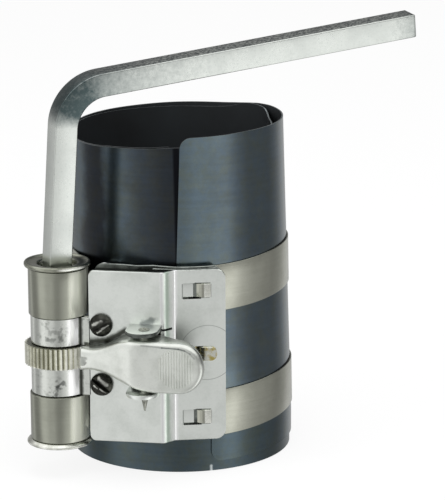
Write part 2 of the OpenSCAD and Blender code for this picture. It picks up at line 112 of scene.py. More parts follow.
# Painted shade and highlights on the front plate: both ends in the front view, reach, tone, share and
# raggedness
PLATE_PAINTED_LIGHT = (
    # Painted shade of the lever above its neck
    ((-19.5, 37.7), (-13.5, 38.2), 1.6, "#34362f", 0.95),
    ((-13.5, 38.2), (-8.6, 41.1), 1.3, "#34362f", 0.95),
    # Painted shade along the left edge, and along the upper edge that faces the saddle plate
    ((-18.6, 20), (-18.6, 48), 0.5, "#6d706a", 0.6),
    ((-15.5, 57.45), (-2.0, 57.45), 0.3, "#7d827d", 0.8),
    ((-2.0, 57.45), (16.0, 57.45), 0.45, "#4d524e", 0.85),
    # Painted shade on the joggle's slope: darker and greener
    ((2.6, 10.5), (2.6, 57), 0.8, "#b9c9bb", 0.9),
    # Painted shade of the upper lug on the plate behind it
    ((-3.9, 42.9), (-1.0, 44.2), 1.4, "#5f676a", 0.7, 2.0),
    # Painted highlights on both bends of the joggle
    ((1.3, 10.5), (1.3, 57), 0.6, "#ffffff", 0.8),
    ((4.4, 10.5), (4.4, 57), 0.9, "#ffffff", 0.8),
)
# Painted shade lines round a hook's slot: x and z of both ends, with z from the slot's middle, reach, tone
# and share
SLOT_SHADE_LINES = (
    (13.55, -1.7, 13.55, 1.7, 0.24, "#787e78", 0.75),
    (6.3, -1.9, 6.3, 1.9, 0.22, "#6f756f", 0.7),
    (9.6, 2.2, 13.4, 2.1, 0.22, "#5f655f", 0.7),
    (10.5, -1.9, 13.2, -1.9, 0.2, "#5f655f", 0.7),
)
# Smudges on the knuckles: both ends, reach and share
KNUCKLE_SMUDGES = (
    ((-26.6, -40.6, 26.2), (-24.6, -40.1, 26.7), 0.8, 0.7),
    ((-27.6, -40.6, 24.2), (-26.2, -40.6, 25.6), 1.0, 0.7),
    ((-28.4, -40.6, 41.2), (-26.0, -40.5, 40.6), 1.4, 0.4),
    ((-28.8, -40.6, 38.6), (-25.8, -40.4, 38.9), 0.8, 0.5),
)
# Brightness of the studio's walls, as the metal sees them, by bearing from the front towards the right
WALL_TONES = (
    (-180, 0.6), (-155, 0.5), (-135, 0.5), (-123, 0.55), (-113, 0.85), (-104, 0.5), (-94, 0.42), (-80, 0.45),
    (-72, 0.65), (-62, 1.05), (-46, 1.05), (-30, 0.8), (-12, 0.8), (0, 0.55), (8, 0.5), (16, 0.52), (34, 0.8),
    (48, 1.0), (55, 1.35), (66, 1.45), (77, 0.85), (92, 0.55), (110, 0.44), (126, 0.33), (141, 0.44),
    (156, 0.7),
    (180, 0.6),
)

# Finishes by name, filled by the first operator
FINISH = {}


def linear(code):
    """Linear colour of an sRGB hex code."""
    parts = [int(code[i : i + 2], 16) / 255 for i in (1, 3, 5)]
    return [c / 12.92 if c <= 0.04045 else ((c + 0.055) / 1.055) ** 2.4 for c in parts]


def colour(name, text, code):
    """Colour property with its default."""
    return bpy.props.FloatVectorProperty(
        name=name, description=text, subtype="COLOR", size=3, min=0, max=1, default=linear(code)
    )


def length(name, text, millimetres):
    """Length property with its default."""
    return bpy.props.FloatProperty(
        name=name, description=text, unit="LENGTH", min=0, default=millimetres * MM, precision=5
    )


class RingCompressorSizes(bpy.types.PropertyGroup):
    """Sizes that a user would change."""

    sleeve_radius: length("Sleeve radius", "Outside radius of the coil at its bottom rim", 30.7)
    strip_width: length("Strip width", "Height of the coiled strip", 89)
    strip_thickness: length("Strip thickness", "Thickness of the coiled strip", 0.4)
    strip_lap: length("Strip lap", "Growth of the coil's radius in one turn", 0.46)
    strip_rise: length("Strip rise", "Most that the outer wrap stands above the inner coil", 3.2)
    strip_taper: length("Strip taper", "Fall of the radius from the land to the top rim", 1.3)
    strip_lean: length("Strip lean", "How far the top rim leans to the left", 1.05)
    strip_dip: length("Strip dip", "How far the top rim dips at the left", 1.25)
    strip_skew: length("Strip skew", "How far the free end's top corner lies to the right of its foot", 1.95)
    strip_undercut: length("Strip undercut", "How far the free end's foot is cut back", 8.9)
    strip_spring: length(
        "Strip spring", "How far the inner coil stands away from the outer wrap at the top right", 1.2
    )
    strap_width: length("Strap width", "Height of a strap", 12.6)
    strap_thickness: length("Strap thickness", "Thickness of a strap", 0.45)
    strap_rise: length("Strap rise", "How far a strap climbs towards the right", 1.7)
    sheet_thickness: length("Sheet thickness", "Thickness of the front plate", 1.2)
    bend_radius: length("Bend radius", "Mid-line radius of the plate's bends", 1.5)
    key_side: length("Key side", "Side of the key's square bar", 6.3)
    key_edge: length("Key edge", "Rounding of the bar's long edges", 0.32)
    lever_edge: length("Lever edge", "Rounding round the lever's face", 1.35)
    rib_pitch: length("Rib pitch", "Distance between the thumb pad's ribs", 0.72)
    rib_count: bpy.props.IntProperty(
        name="Ribs", description="Number of ribs on the thumb pad", default=13, min=3
    )
    tooth_count: bpy.props.IntProperty(
        name="Teeth", description="Number of ratchet teeth", default=40, min=12
    )
    tooth_depth: length("Tooth depth", "Depth of a ratchet tooth", 0.8)


class RingCompressorColours(bpy.types.PropertyGroup):
    """Colours that a user would change."""

    # The two blues end the sleeve's tone ramp, which is partly temper colour and partly painted reflection
    blue_light: colour("Blue", "Blued steel where the temper colour is lightest", "#717f87")
    blue_dark: colour("Blue black", "Blued steel where the temper colour is deepest", "#36393e")
    strap: colour("Strap steel", "Bare steel of the straps", "#b0b1a5")
    zinc: colour("Zinc", "Zinc on the sheet pieces", "#edf1ec")
    zinc_dull: colour("Dull zinc", "Rubbed and smudged zinc", "#6e736c")
    key: colour("Key", "Plated square bar", "#d3d7d2")
    spool: colour("Spool steel", "Oiled steel of the spool", "#97988b")
    dark: colour("Dark steel", "Oiled dark screws and pin", "#4b4c46")
    yellow: colour("Yellow zinc", "Yellow passivated tab", "#b5a55e")


# Nodes


def feed(tree, made, inputs):
    """Links or sets a node's sockets by place or name; a given node stands for its first output in use."""
    pairs = inputs.items() if isinstance(inputs, dict) else enumerate(inputs)
    for key, value in pairs:
        if isinstance(value, bpy.types.Node):
            value = next(out for out in value.outputs if out.enabled)
        if isinstance(value, bpy.types.NodeSocket):
            tree.links.new(value, made.inputs[key])
        else:
            made.inputs[key].default_value = value


def node(tree, kind, inputs=(), **settings):
    """Adds a node: settings are its own properties, inputs go to its sockets."""
    made = tree.nodes.new(kind)
    for key, value in settings.items():
        setattr(made, key, value)
    feed(tree, made, inputs)
    return made


# Meshes


def shade(mesh, angle):
    """Smooth shading with edges sharper than the angle kept hard."""
    mesh.shade_smooth()
    mesh.set_sharp_from_angle(angle=math.radians(angle))


def new_object(name, mesh):
    """Object at the origin that holds the mesh."""
    made = bpy.data.objects.new(name, mesh)
    bpy.context.scene.collection.objects.link(made)
    return made


def from_bmesh(name, bm):
    """Mesh from a bmesh in millimetres, with doubles merged and normals outwards."""
    bmesh.ops.remove_doubles(bm, verts=bm.verts, dist=0.002)
    bmesh.ops.recalc_face_normals(bm, faces=bm.faces)
    bmesh.ops.scale(bm, vec=(MM, MM, MM), verts=bm.verts)
    mesh = bpy.data.meshes.new(name)
    bm.to_mesh(mesh)
    bm.free()
    return mesh


def baked(obj):
    """Plain mesh of an object with its modifiers; the object is removed."""
    view = bpy.context.evaluated_depsgraph_get()
    mesh = bpy.data.meshes.new_from_object(obj.evaluated_get(view), depsgraph=view)
    mesh.name = obj.name
    bpy.data.objects.remove(obj)
    return mesh


def joined(name, meshes):
    """One mesh of several, materials kept."""
    bm = bmesh.new()
    slots = []
    for mesh in meshes:
        first = len(bm.faces)
        bm.from_mesh(mesh)
        bm.faces.ensure_lookup_table()
        for face in bm.faces[first:]:
            material = mesh.materials[face.material_index] if mesh.materials else None
            if material not in slots:
                slots.append(material)
            face.material_index = slots.index(material)
    made = bpy.data.meshes.new(name)
    bm.to_mesh(made)
    bm.free()
    for material in slots:
        made.materials.append(material)
    return made


def painted(mesh, material):
    """The mesh with one material."""
    mesh.materials.clear()
    mesh.materials.append(material)
    return mesh


def plated(name, bm, finish):
    """Mesh from a bmesh, with one finish."""
    return painted(from_bmesh(name, bm), FINISH[finish])


def two_tone(mesh, sides, tops):
    """The mesh with one finish on its upright faces and another on those that face up or down."""
    painted(mesh, FINISH[sides]).materials.append(FINISH[tops])
    for face in mesh.polygons:
        face.material_index = int(abs(face.normal.z) > 0.4)
    return mesh


def piece(name, mesh, body, slot, *nodes, angle=32):
    """Finished piece: rides on its body and stands for its solids."""
    shade(mesh, angle)
    made = new_object(name, mesh)
    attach(made, body)
    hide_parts(*nodes)
    return made


def loft(bm, rings, closed_ends=True):
    """Skin over rings of equal length; the ends are capped."""
    rows = [[bm.verts.new(p) for p in ring] for ring in rings]
    for a, b in zip(rows, rows[1:]):
        for i in range(len(a)):
            j = (i + 1) % len(a)
            bm.faces.new((a[i], a[j], b[j], b[i]))
    if closed_ends:
        bm.faces.new(rows[0])
        bm.faces.new(list(reversed(rows[-1])))
    return rows


def lathe(bm, profile, place, steps):
    """Solid of revolution: profile of (radius, height) from foot to top, placed by a matrix."""
    rows = []
    for r, h in profile:
        ring = [Vector((*p, h)) for p in arc((0, 0), r, 0, TAU, steps)[:-1]] if r else [Vector((0, 0, h))]
        rows.append([bm.verts.new(place @ p) for p in ring])
    for a, b in zip(rows, rows[1:]):
        for i in range(steps):
            j = (i + 1) % steps
            corners = [a[i % len(a)], a[j % len(a)], b[j % len(b)], b[i % len(b)]]
            unique = list(dict.fromkeys(corners))
            if len(unique) > 2:
                bm.faces.new(unique)
    return rows


def arc(centre, radius, start, end, steps):
    """Points of an arc in the plan; angles in radians."""
    turns = [start + (end - start) * i / steps for i in range(steps + 1)]
    return [Vector((centre[0] + radius * math.cos(a), centre[1] + radius * math.sin(a))) for a in turns]


def rounded(points, radius, steps):
    """Polyline whose inner corners are arcs."""
    made = [Vector(points[0])]
    for a, b, c in zip(points, points[1:], points[2:]):
        a, b, c = Vector(a), Vector(b), Vector(c)
        u, v = (a - b).normalized(), (c - b).normalized()
        half = u.angle(v) / 2
        reach = min(radius / math.tan(half), 0.49 * (a - b).length, 0.49 * (c - b).length)
        p, q = b + u * reach, b + v * reach
        for i in range(steps + 1):
            t = i / steps
            made.append(p * (1 - t) ** 2 + b * (2 * t * (1 - t)) + q * t**2)
    made.append(Vector(points[-1]))
    return made


def spread(points, step):
    """Polyline with points no further apart than a step."""
    made = [points[0]]
    for a, b in zip(points, points[1:]):
        count = max(1, math.ceil((b - a).length / step))
        made += [a.lerp(b, i / count) for i in range(1, count + 1)]
    return made


def sheet_along(bm, path, thickness, low, high, edge, first_r=0, last_r=0):
    """Upright sheet along a plan mid-line, from one height to another, its end corners rounded."""
    run = [0.0]
    for a, b in zip(path, path[1:]):
        run.append(run[-1] + (b - a).length)
    total, half = run[-1], thickness / 2
    rings = []
    for i, p in enumerate(path):
        a, b = path[max(i - 1, 0)], path[min(i + 1, len(path) - 1)]
        side = Vector((-(b - a).y, (b - a).x)).normalized()
        inset = 0.0
        for r, s in ((first_r, run[i]), (last_r, total - run[i])):
            if s < r:
                inset = r - math.sqrt(max(r * r - (r - s) ** 2, 0))
        lo, hi = low + inset, high - inset
        e = min(edge, 0.45 * (hi - lo))
        outline = [(half - e, lo), (half, lo + e), (half, hi - e), (half - e, hi)]
        outline += [(-n, z) for n, z in reversed(outline)]
        rings.append([(p.x + side.x * n, p.y + side.y * n, z) for n, z in outline])
    return loft(bm, rings)


def ends_dense(path, reach):
    """The path with extra points near both ends, for rounded corners."""
    count = 14

    def walk(points):
        made, done, rest = [points[0]], 0.0, list(points)
        marks = [reach * (1 - math.cos(math.pi / 2 * i / count)) for i in range(1, count + 1)]
        while len(rest) > 1:
            span = (rest[1] - rest[0]).length
            for m in [m for m in marks if done < m <= done + span]:
                made.append(rest[0].lerp(rest[1], (m - done) / span))
            done += span
            rest = rest[1:]
            if (made[-1] - rest[0]).length > 1e-4:
                made.append(rest[0])
        return made

    return list(reversed(walk(list(reversed(walk(path))))))


def slab(bm, outline, low, high, edge):
    """Flat plate with a rounded edge from a plan outline that runs anticlockwise."""
    count = len(outline)

    def inset(d):
        made = []
        for i, p in enumerate(outline):
            t = (outline[(i + 1) % count] - outline[i - 1]).normalized()
            made.append(p + Vector((-t.y, t.x)) * d)
        return made

    near = edge * 0.3
    levels = (
        (edge, low), (near, low + near), (0, low + edge), (0, high - edge), (near, high - near), (edge, high)
    )
    return loft(bm, [[(p.x, p.y, z) for p in inset(d)] for d, z in levels])


def box(bm, low, high, turn=None):
    """Box between two corners, placed by a matrix."""
    made = bmesh.ops.create_cube(bm, size=1)["verts"]
    low, high = Vector(low), Vector(high)
    for v in made:
        p = Vector(((low + high)[k] / 2 + v.co[k] * (high - low)[k] for k in range(3)))
        v.co = turn @ p if turn else p
    return made


def carved(name, mesh, cutter_bm):
    """The mesh less the cutters."""
    tool = new_object(name + "_cutter", from_bmesh(name + "_cutter", cutter_bm))
    made = new_object(name, mesh)
    cut = made.modifiers.new("cut", "BOOLEAN")
    cut.operation, cut.solver = "DIFFERENCE", "EXACT"
    cut.object, cut.use_self = tool, True
    result = baked(made)
    bpy.data.objects.remove(tool)
    return result


def eased(name, source, width):
    """Copy of a solid with its edges eased."""
    bm = bmesh.new()
    bm.from_mesh(NODES[source].data)
    bmesh.ops.remove_doubles(bm, verts=bm.verts, dist=2e-6)
    bmesh.ops.dissolve_limit(bm, angle_limit=math.radians(0.6), verts=bm.verts, edges=bm.edges)
    mesh = bpy.data.meshes.new(name)
    bm.to_mesh(mesh)
    bm.free()
    made = new_object(name, mesh)
    bevel = made.modifiers.new("ease", "BEVEL")
    bevel.width, bevel.segments = width * MM, 2
    bevel.limit_method, bevel.angle_limit = "ANGLE", math.radians(35)
    return baked(made)


def within(share):
    """The share, kept from 0 to 1."""
    return min(max(share, 0), 1)


def on_right(x, depth):
    """Plan point on the plate's right part: along the plate, and behind its front face."""
    c, s = math.cos(RIGHT_TILT), math.sin(RIGHT_TILT)
    y = depth - RIGHT_FRONT
    return Vector((c * x - s * y, s * x + c * y))


RIGHT_FRAME = Matrix.Rotation(RIGHT_TILT, 4, "Z") @ Matrix.Translation((0, -RIGHT_FRONT, 0))


# Node trees that make what repeats or follows a rule


def tree_with(name, inputs):
    """Geometry tree with named inputs; returns the tree, its input node and the inputs' identifiers."""
    tree = bpy.data.node_groups.new(name, "GeometryNodeTree")
    tree.interface.new_socket("Geometry", in_out="INPUT", socket_type="NodeSocketGeometry")
    marks = {}
    for label, kind in inputs.items():
        marks[label] = tree.interface.new_socket(label, in_out="INPUT", socket_type=kind).identifier
    tree.interface.new_socket("Geometry", in_out="OUTPUT", socket_type="NodeSocketGeometry")
    return tree, tree.nodes.new("NodeGroupInput"), marks


def finish_tree(tree, geometry, material):
    """Realized instances, material and output of a tree."""
    real = node(tree, "GeometryNodeRealizeInstances", {"Geometry": geometry})
    paint = node(tree, "GeometryNodeSetMaterial", {"Geometry": real, "Material": material})
    node(tree, "NodeGroupOutput", {"Geometry": paint})


def run_tree(name, made, values, mesh=None):
    """Plain mesh from a tree; values go in by the sockets' identifiers."""
    tree, _, marks = made
    obj = new_object(name, mesh or bpy.data.meshes.new(name))
    mod = obj.modifiers.new("make", "NODES")
    mod.node_group = tree
    for label, value in values.items():
        mod[marks[label]] = value
    return baked(obj)


def ribbon_tree():
    """Band or wire along a path: a rectangle with eased corners, upright on the path."""
    made = tree_with(
        "band_along_path",
        {
            "Width": "NodeSocketFloat", "Thickness": "NodeSocketFloat", "Edge": "NodeSocketFloat",
            "Taper": "NodeSocketFloat", "Material": "NodeSocketMaterial",
        },
    )
    tree, given, _ = made
    line = node(tree, "GeometryNodeMeshToCurve", {"Mesh": given.outputs["Geometry"]})
    spot = node(tree, "GeometryNodeInputPosition")
    kept = node(
        tree, "GeometryNodeStoreNamedAttribute", {"Geometry": line, "Name": "path", "Value": spot},
        data_type="FLOAT_VECTOR", domain="POINT",
    )
    upright = node(tree, "GeometryNodeSetCurveNormal", {"Curve": kept}, mode="Z_UP")
    section = node(
        tree, "GeometryNodeCurvePrimitiveQuadrilateral",
        {"Width": given.outputs["Thickness"], "Height": given.outputs["Width"]},
    )
    soft = node(
        tree, "GeometryNodeFilletCurve", {"Curve": section, "Count": 3, "Radius": given.outputs["Edge"]},
        mode="POLY",
    )
    band = node(tree, "GeometryNodeCurveToMesh", {"Curve": upright, "Profile Curve": soft, "Fill Caps": True})
    # Taper draws the band in towards the sleeve's axis above its path
    path = node(tree, "GeometryNodeInputNamedAttribute", {"Name": "path"}, data_type="FLOAT_VECTOR")
    above = node(tree, "ShaderNodeVectorMath", [spot, path], operation="SUBTRACT")
    above = node(tree, "ShaderNodeSeparateXYZ", [above]).outputs["Z"]
    share = node(tree, "ShaderNodeMath", [above, given.outputs["Taper"]], operation="MULTIPLY")
    inward = node(tree, "ShaderNodeVectorMath", [path, (-1, -1, 0)], operation="MULTIPLY")
    inward = node(tree, "ShaderNodeVectorMath", [inward], operation="NORMALIZE")
    shift = node(tree, "ShaderNodeVectorMath", {0: inward, "Scale": share}, operation="SCALE")
    drawn = node(tree, "GeometryNodeSetPosition", {"Geometry": band, "Offset": shift})
    finish_tree(tree, drawn, given.outputs["Material"])
    return made


def ribbon(name, made, points, width, thickness, edge, material, taper=0.0):
    """Band along points given in millimetres; its width, thickness and edge are in metres."""
    mesh = bpy.data.meshes.new(name + "_path")
    mesh.from_pydata([Vector(p) * MM for p in points], [(i, i + 1) for i in range(len(points) - 1)], [])
    return run_tree(
        name, made,
        {"Width": width, "Thickness": thickness, "Edge": edge, "Taper": taper, "Material": material}, mesh,
    )


def coil_tree():
    """Sleeve: one strip coiled twice, tapered above its land, risen and sprung open at its free end."""
    number, value = "NodeSocketFloat", "ShaderNodeMath"
    made = tree_with(
        "coiled_strip",
        {k: number for k in ("Turns", "Radius", "Land", "Corner", "Start", *STRIP_SIZES)}
        | {k: "NodeSocketMaterial" for k in ("Material", "Inside Material", "Edge Material")},
    )
    tree, given, _ = made
    g = given.outputs
    grid = node(tree, "GeometryNodeMeshGrid", {"Size X": 1, "Size Y": 1, "Vertices X": 601, "Vertices Y": 33})
    split = node(tree, "ShaderNodeSeparateXYZ", [grid.outputs["UV Map"]])
    close = node(tree, value, [split.outputs["X"], 1.6], operation="POWER")
    turn = node(tree, value, [close, g["Turns"]], operation="MULTIPLY")
    whole = node(tree, value, [turn], operation="FLOOR")
    part = node(tree, value, [turn], operation="FRACT")
    half = node(tree, value, [part, 0.5], operation="MINIMUM")
    swing = node(tree, value, [half, TAU], operation="MULTIPLY")
    wave = node(tree, value, [swing], operation="COSINE")
    half_lap = node(tree, value, [g["Lap"], 0.5], operation="MULTIPLY")
    ease = node(tree, value, [wave, half_lap, g["Radius"]], operation="MULTIPLY_ADD")
    laps = node(tree, value, [whole, g["Lap"]], operation="MULTIPLY")
    outer = node(tree, value, [ease, laps], operation="SUBTRACT")
    inner = node(tree, value, [outer, g["Thickness"]], operation="SUBTRACT")
    # Rounded corners of the free end
    girth = node(tree, value, [g["Radius"], TAU], operation="MULTIPLY")
    along = node(tree, value, [turn, girth], operation="MULTIPLY")
    short = node(tree, value, [g["Corner"], along], operation="SUBTRACT")
    short = node(tree, value, [short, 0.0], operation="MAXIMUM")
    short2 = node(tree, value, [short, short], operation="MULTIPLY")
    corner2 = node(tree, value, [g["Corner"], g["Corner"]], operation="MULTIPLY")
    root = node(tree, value, [corner2, short2], operation="SUBTRACT")
    root = node(tree, value, [root], operation="SQRT")
    inset = node(tree, value, [g["Corner"], root], operation="SUBTRACT")
    tall = node(tree, value, [inset, -2.0, g["Width"]], operation="MULTIPLY_ADD")
    up = node(tree, value, [split.outputs["Y"], tall, inset], operation="MULTIPLY_ADD")
    # Taper above the land
    above = node(tree, value, [up, g["Land"]], operation="SUBTRACT")
    above = node(tree, value, [above, 0.0], operation="MAXIMUM")
    span = node(tree, value, [g["Width"], g["Land"]], operation="SUBTRACT")
    share = node(tree, value, [above, span], operation="DIVIDE")
    fall = node(tree, value, [share, g["Taper"]], operation="MULTIPLY")
    # The inner coil stands away from the outer wrap towards the top
    loose = node(tree, "ShaderNodeMapRange", [turn, 0.9, 1.2], interpolation_type="SMOOTHSTEP")
    share2 = node(tree, value, [share, 1.7], operation="POWER")
    loose = node(tree, value, [loose, share2], operation="MULTIPLY")
    touch = node(tree, "ShaderNodeFloatCurve", {"Value": part})
    set_curve(touch, TOUCH_KNOTS, "AUTO_CLAMPED")
    loose = node(tree, value, [loose, touch], operation="MULTIPLY")
    away = node(tree, value, [loose, g["Spring"]], operation="MULTIPLY")
    less = node(tree, value, [fall, away], operation="ADD")
    radius = node(tree, value, [inner, less], operation="SUBTRACT")
    # The free end is cut square to the rising strip, so it leans to the right
    fade = node(tree, "ShaderNodeMapRange", [turn, 0.0, 0.6, 1.0, 0.0])
    upper = node(tree, "ShaderNodeMapRange", [share, 0.5, 1.0])
    lower = node(tree, "ShaderNodeMapRange", [up, 12 * MM, 30 * MM, g["Undercut"], 0.0])
    skew = node(tree, value, [upper, g["Skew"], lower], operation="MULTIPLY_ADD")
    skew = node(tree, value, [skew, fade], operation="MULTIPLY")
    skew = node(tree, value, [skew, g["Radius"]], operation="DIVIDE")
    begin = node(tree, value, [skew, g["Start"]], operation="ADD")
    angle = node(tree, value, [turn, TAU, begin], operation="MULTIPLY_ADD")
    cos = node(tree, value, [angle], operation="COSINE")
    sin = node(tree, value, [angle], operation="SINE")
    x = node(tree, value, [radius, cos], operation="MULTIPLY")
    x = node(tree, value, [x, away], operation="SUBTRACT")
    lean = node(tree, value, [share, g["Lean"]], operation="MULTIPLY")
    x = node(tree, value, [x, lean], operation="SUBTRACT")
    y = node(tree, value, [radius, sin], operation="MULTIPLY")
    half_turn = node(tree, value, [turn, 0.5], operation="MULTIPLY")
    risen = node(tree, "ShaderNodeFloatCurve", {"Value": half_turn})
    set_curve(risen, [(t / 2, share_at) for t, share_at in RISE_KNOTS], "AUTO_CLAMPED")
    dips = node(tree, "ShaderNodeFloatCurve", {"Value": part})
    set_curve(dips, DIP_KNOTS, "AUTO_CLAMPED")
    dip = node(tree, value, [dips, share], operation="MULTIPLY")
    dip = node(tree, value, [dip, g["Dip"]], operation="MULTIPLY")
    bent = node(tree, "ShaderNodeMapRange", [turn, 1.0, 1.1, 1.0, share])
    risen = node(tree, value, [risen, bent], operation="MULTIPLY")
    z = node(tree, value, [risen, g["Rise"], up], operation="MULTIPLY_ADD")
    z = node(tree, value, [z, dip], operation="SUBTRACT")
    place = node(tree, "ShaderNodeCombineXYZ", [x, y, z])
    marked = node(
        tree, "GeometryNodeStoreNamedAttribute",
        {"Geometry": grid.outputs["Mesh"], "Name": "turn", "Value": turn}, data_type="FLOAT", domain="POINT",
    )
    wall = node(tree, "GeometryNodeSetPosition", {"Geometry": marked, "Position": place})
    flip = node(tree, "GeometryNodeFlipFaces", {"Mesh": wall})
    thick = node(
        tree, "GeometryNodeExtrudeMesh", {"Mesh": wall, "Offset Scale": g["Thickness"], "Individual": False},
        mode="FACES",
    )
    sides = node(
        tree, "GeometryNodeSetMaterial",
        {"Geometry": thick, "Selection": thick.outputs["Top"], "Material": g["Material"]},
    )
    rims = node(
        tree, "GeometryNodeSetMaterial",
        {"Geometry": sides, "Selection": thick.outputs["Side"], "Material": g["Edge Material"]},
    )
    inside = node(tree, "GeometryNodeSetMaterial", {"Geometry": flip, "Material": g["Inside Material"]})
    both = node(tree, "GeometryNodeJoinGeometry", [rims])
    feed(tree, both, [inside])
    closed = node(tree, "GeometryNodeMergeByDistance", {"Geometry": both, "Distance": 2e-6})
    real = node(tree, "GeometryNodeRealizeInstances", {"Geometry": closed})
    node(tree, "NodeGroupOutput", {"Geometry": real})
    return made


def set_curve(made, knots, handle):
    """Gives a Float Curve node its knots."""
    points = made.mapping.curves[0].points
    points[0].location, points[1].location = knots[0], knots[-1]
    for knot in knots[1:-1]:
        points.new(*knot)
    for point in points:
        point.handle_type = handle
    made.mapping.update()


def tooth_tree():
    """Ratchet wheel: a ring whose outline rises slowly and falls steeply at each tooth."""
    number, value = "NodeSocketFloat", "ShaderNodeMath"
    made = tree_with(
        "ratchet_ring",
        {
            "Teeth": "NodeSocketInt", "Tip": number, "Depth": number, "Bore": number, "Height": number,
            "Material": "NodeSocketMaterial",
        },
    )
    tree, given, _ = made
    g = given.outputs
    points = node(tree, value, [g["Teeth"], 10.0], operation="MULTIPLY")
    rim = node(tree, "GeometryNodeCurvePrimitiveCircle", {"Resolution": points, "Radius": 1.0}, mode="RADIUS")
    where = node(tree, "GeometryNodeInputPosition")
    split = node(tree, "ShaderNodeSeparateXYZ", [where])
    angle = node(tree, value, [split.outputs["Y"], split.outputs["X"]], operation="ARCTAN2")
    count = node(tree, value, [angle, g["Teeth"]], operation="MULTIPLY")
    share = node(tree, value, [count, 1 / TAU, 8.0], operation="MULTIPLY_ADD")
    share = node(tree, value, [share], operation="FRACT")
    shape = node(tree, "ShaderNodeFloatCurve", {"Value": share})
    set_curve(shape, TOOTH_KNOTS, "VECTOR")
    low = node(tree, value, [g["Tip"], g["Depth"]], operation="SUBTRACT")
    radius = node(tree, value, [shape, g["Depth"], low], operation="MULTIPLY_ADD")
    cos = node(tree, value, [angle], operation="COSINE")
    sin = node(tree, value, [angle], operation="SINE")
    x = node(tree, value, [radius, cos], operation="MULTIPLY")
    y = node(tree, value, [radius, sin], operation="MULTIPLY")
    place = node(tree, "ShaderNodeCombineXYZ", [x, y, 0.0])
    saw = node(tree, "GeometryNodeSetPosition", {"Geometry": rim, "Position": place})
    bore = node(
        tree, "GeometryNodeCurvePrimitiveCircle", {"Resolution": 64, "Radius": g["Bore"]}, mode="RADIUS"
    )
    lines = node(tree, "GeometryNodeJoinGeometry", [saw])
    feed(tree, lines, [bore])
    face = node(tree, "GeometryNodeFillCurve", {"Curve": lines}, mode="TRIANGLES")
    under = node(tree, "GeometryNodeFlipFaces", {"Mesh": face})
    thick = node(
        tree, "GeometryNodeExtrudeMesh", {"Mesh": face, "Offset Scale": g["Height"], "Individual": False},
        mode="FACES",
    )
    both = node(tree, "GeometryNodeJoinGeometry", [thick])
    feed(tree, both, [under])
    closed = node(tree, "GeometryNodeMergeByDistance", {"Geometry": both, "Distance": 2e-6})
    # Height on the tooth, for a darker tone towards the roots
    flat = node(tree, "ShaderNodeVectorMath", [where, (1, 1, 0)], operation="MULTIPLY")
    out = node(tree, "ShaderNodeVectorMath", [flat], operation="LENGTH")
    tall = node(tree, "ShaderNodeMapRange", [out, low, g["Tip"]])
    marked = node(
        tree, "GeometryNodeStoreNamedAttribute", {"Geometry": closed, "Name": "tooth", "Value": tall},
        data_type="FLOAT", domain="POINT",
    )
    finish_tree(tree, marked, g["Material"])
    return made


def rib_tree():
    """Thumb ribs: round bars side by side, each as long as the pad's oval allows."""
    number, value = "NodeSocketFloat", "ShaderNodeMath"
    made = tree_with(
        "thumb_ribs",
        {
            "Count": "NodeSocketInt", "Pitch": number, "Reach": number, "Bar": number,
            "Centre": "NodeSocketVector", "Slope": number, "Material": "NodeSocketMaterial",
        },
    )
    tree, given, _ = made
    g = given.outputs
    step = node(tree, "ShaderNodeCombineXYZ", [g["Pitch"], 0.0, 0.0])
    last = node(tree, value, [g["Count"], -1.0], operation="ADD")
    back = node(tree, value, [last, g["Pitch"]], operation="MULTIPLY")
    back = node(tree, value, [back, -0.5], operation="MULTIPLY")
    first = node(tree, "ShaderNodeCombineXYZ", [back, 0.0, 0.0])
    row = node(
        tree, "GeometryNodeMeshLine", {"Count": g["Count"], "Start Location": first, "Offset": step},
        mode="OFFSET",
    )
    where = node(tree, "GeometryNodeInputPosition")
    split = node(tree, "ShaderNodeSeparateXYZ", [where])
    square = node(tree, value, [split.outputs["X"], split.outputs["X"]], operation="MULTIPLY")
    reach2 = node(tree, value, [g["Reach"], g["Reach"]], operation="MULTIPLY")
    left = node(tree, value, [reach2, square], operation="SUBTRACT")
    left = node(tree, value, [left], operation="SQRT")
    bar = node(tree, "GeometryNodeCurvePrimitiveLine", {"Start": (0, 0, -1), "End": (0, 0, 1)})
    dense = node(tree, "GeometryNodeResampleCurve", {"Curve": bar, "Count": 9})
    section = node(
        tree, "GeometryNodeCurvePrimitiveCircle", {"Resolution": 10, "Radius": g["Bar"]}, mode="RADIUS"
    )
    rod = node(tree, "GeometryNodeCurveToMesh", {"Curve": dense, "Profile Curve": section, "Fill Caps": True})
    size = node(tree, "ShaderNodeCombineXYZ", [1.0, 1.0, left])
    bars = node(tree, "GeometryNodeInstanceOnPoints", {"Points": row, "Instance": rod, "Scale": size})
    real = node(tree, "GeometryNodeRealizeInstances", {"Geometry": bars})
    drop = node(tree, value, [split.outputs["X"], g["Slope"]], operation="MULTIPLY")
    shift = node(tree, "ShaderNodeCombineXYZ", [0.0, drop, 0.0])
    to_pad = node(tree, "ShaderNodeVectorMath", [g["Centre"], shift], operation="ADD")
    moved = node(tree, "GeometryNodeSetPosition", {"Geometry": real, "Offset": to_pad})
    finish_tree(tree, moved, g["Material"])
    return made


# Materials


def per(millimetres):
    """Texture scale for a feature of that size."""
    return 1 / (millimetres * MM)


def tint(code):
    """Colour for a socket, from a hex code or a colour property."""
    return (*(linear(code) if isinstance(code, str) else code), 1)


def new_material(name):
    """Empty material with its surface shader, its tree and its Object coordinates."""
    made = bpy.data.materials.new(name)
    made.use_nodes = True
    tree = made.node_tree
    tree.nodes.clear()
    shader = node(tree, "ShaderNodeBsdfPrincipled", {"Metallic": 1.0})
    node(tree, "ShaderNodeOutputMaterial", {"Surface": shader})
    spot = node(tree, "ShaderNodeTexCoord").outputs["Object"]
    return made, tree, shader, spot


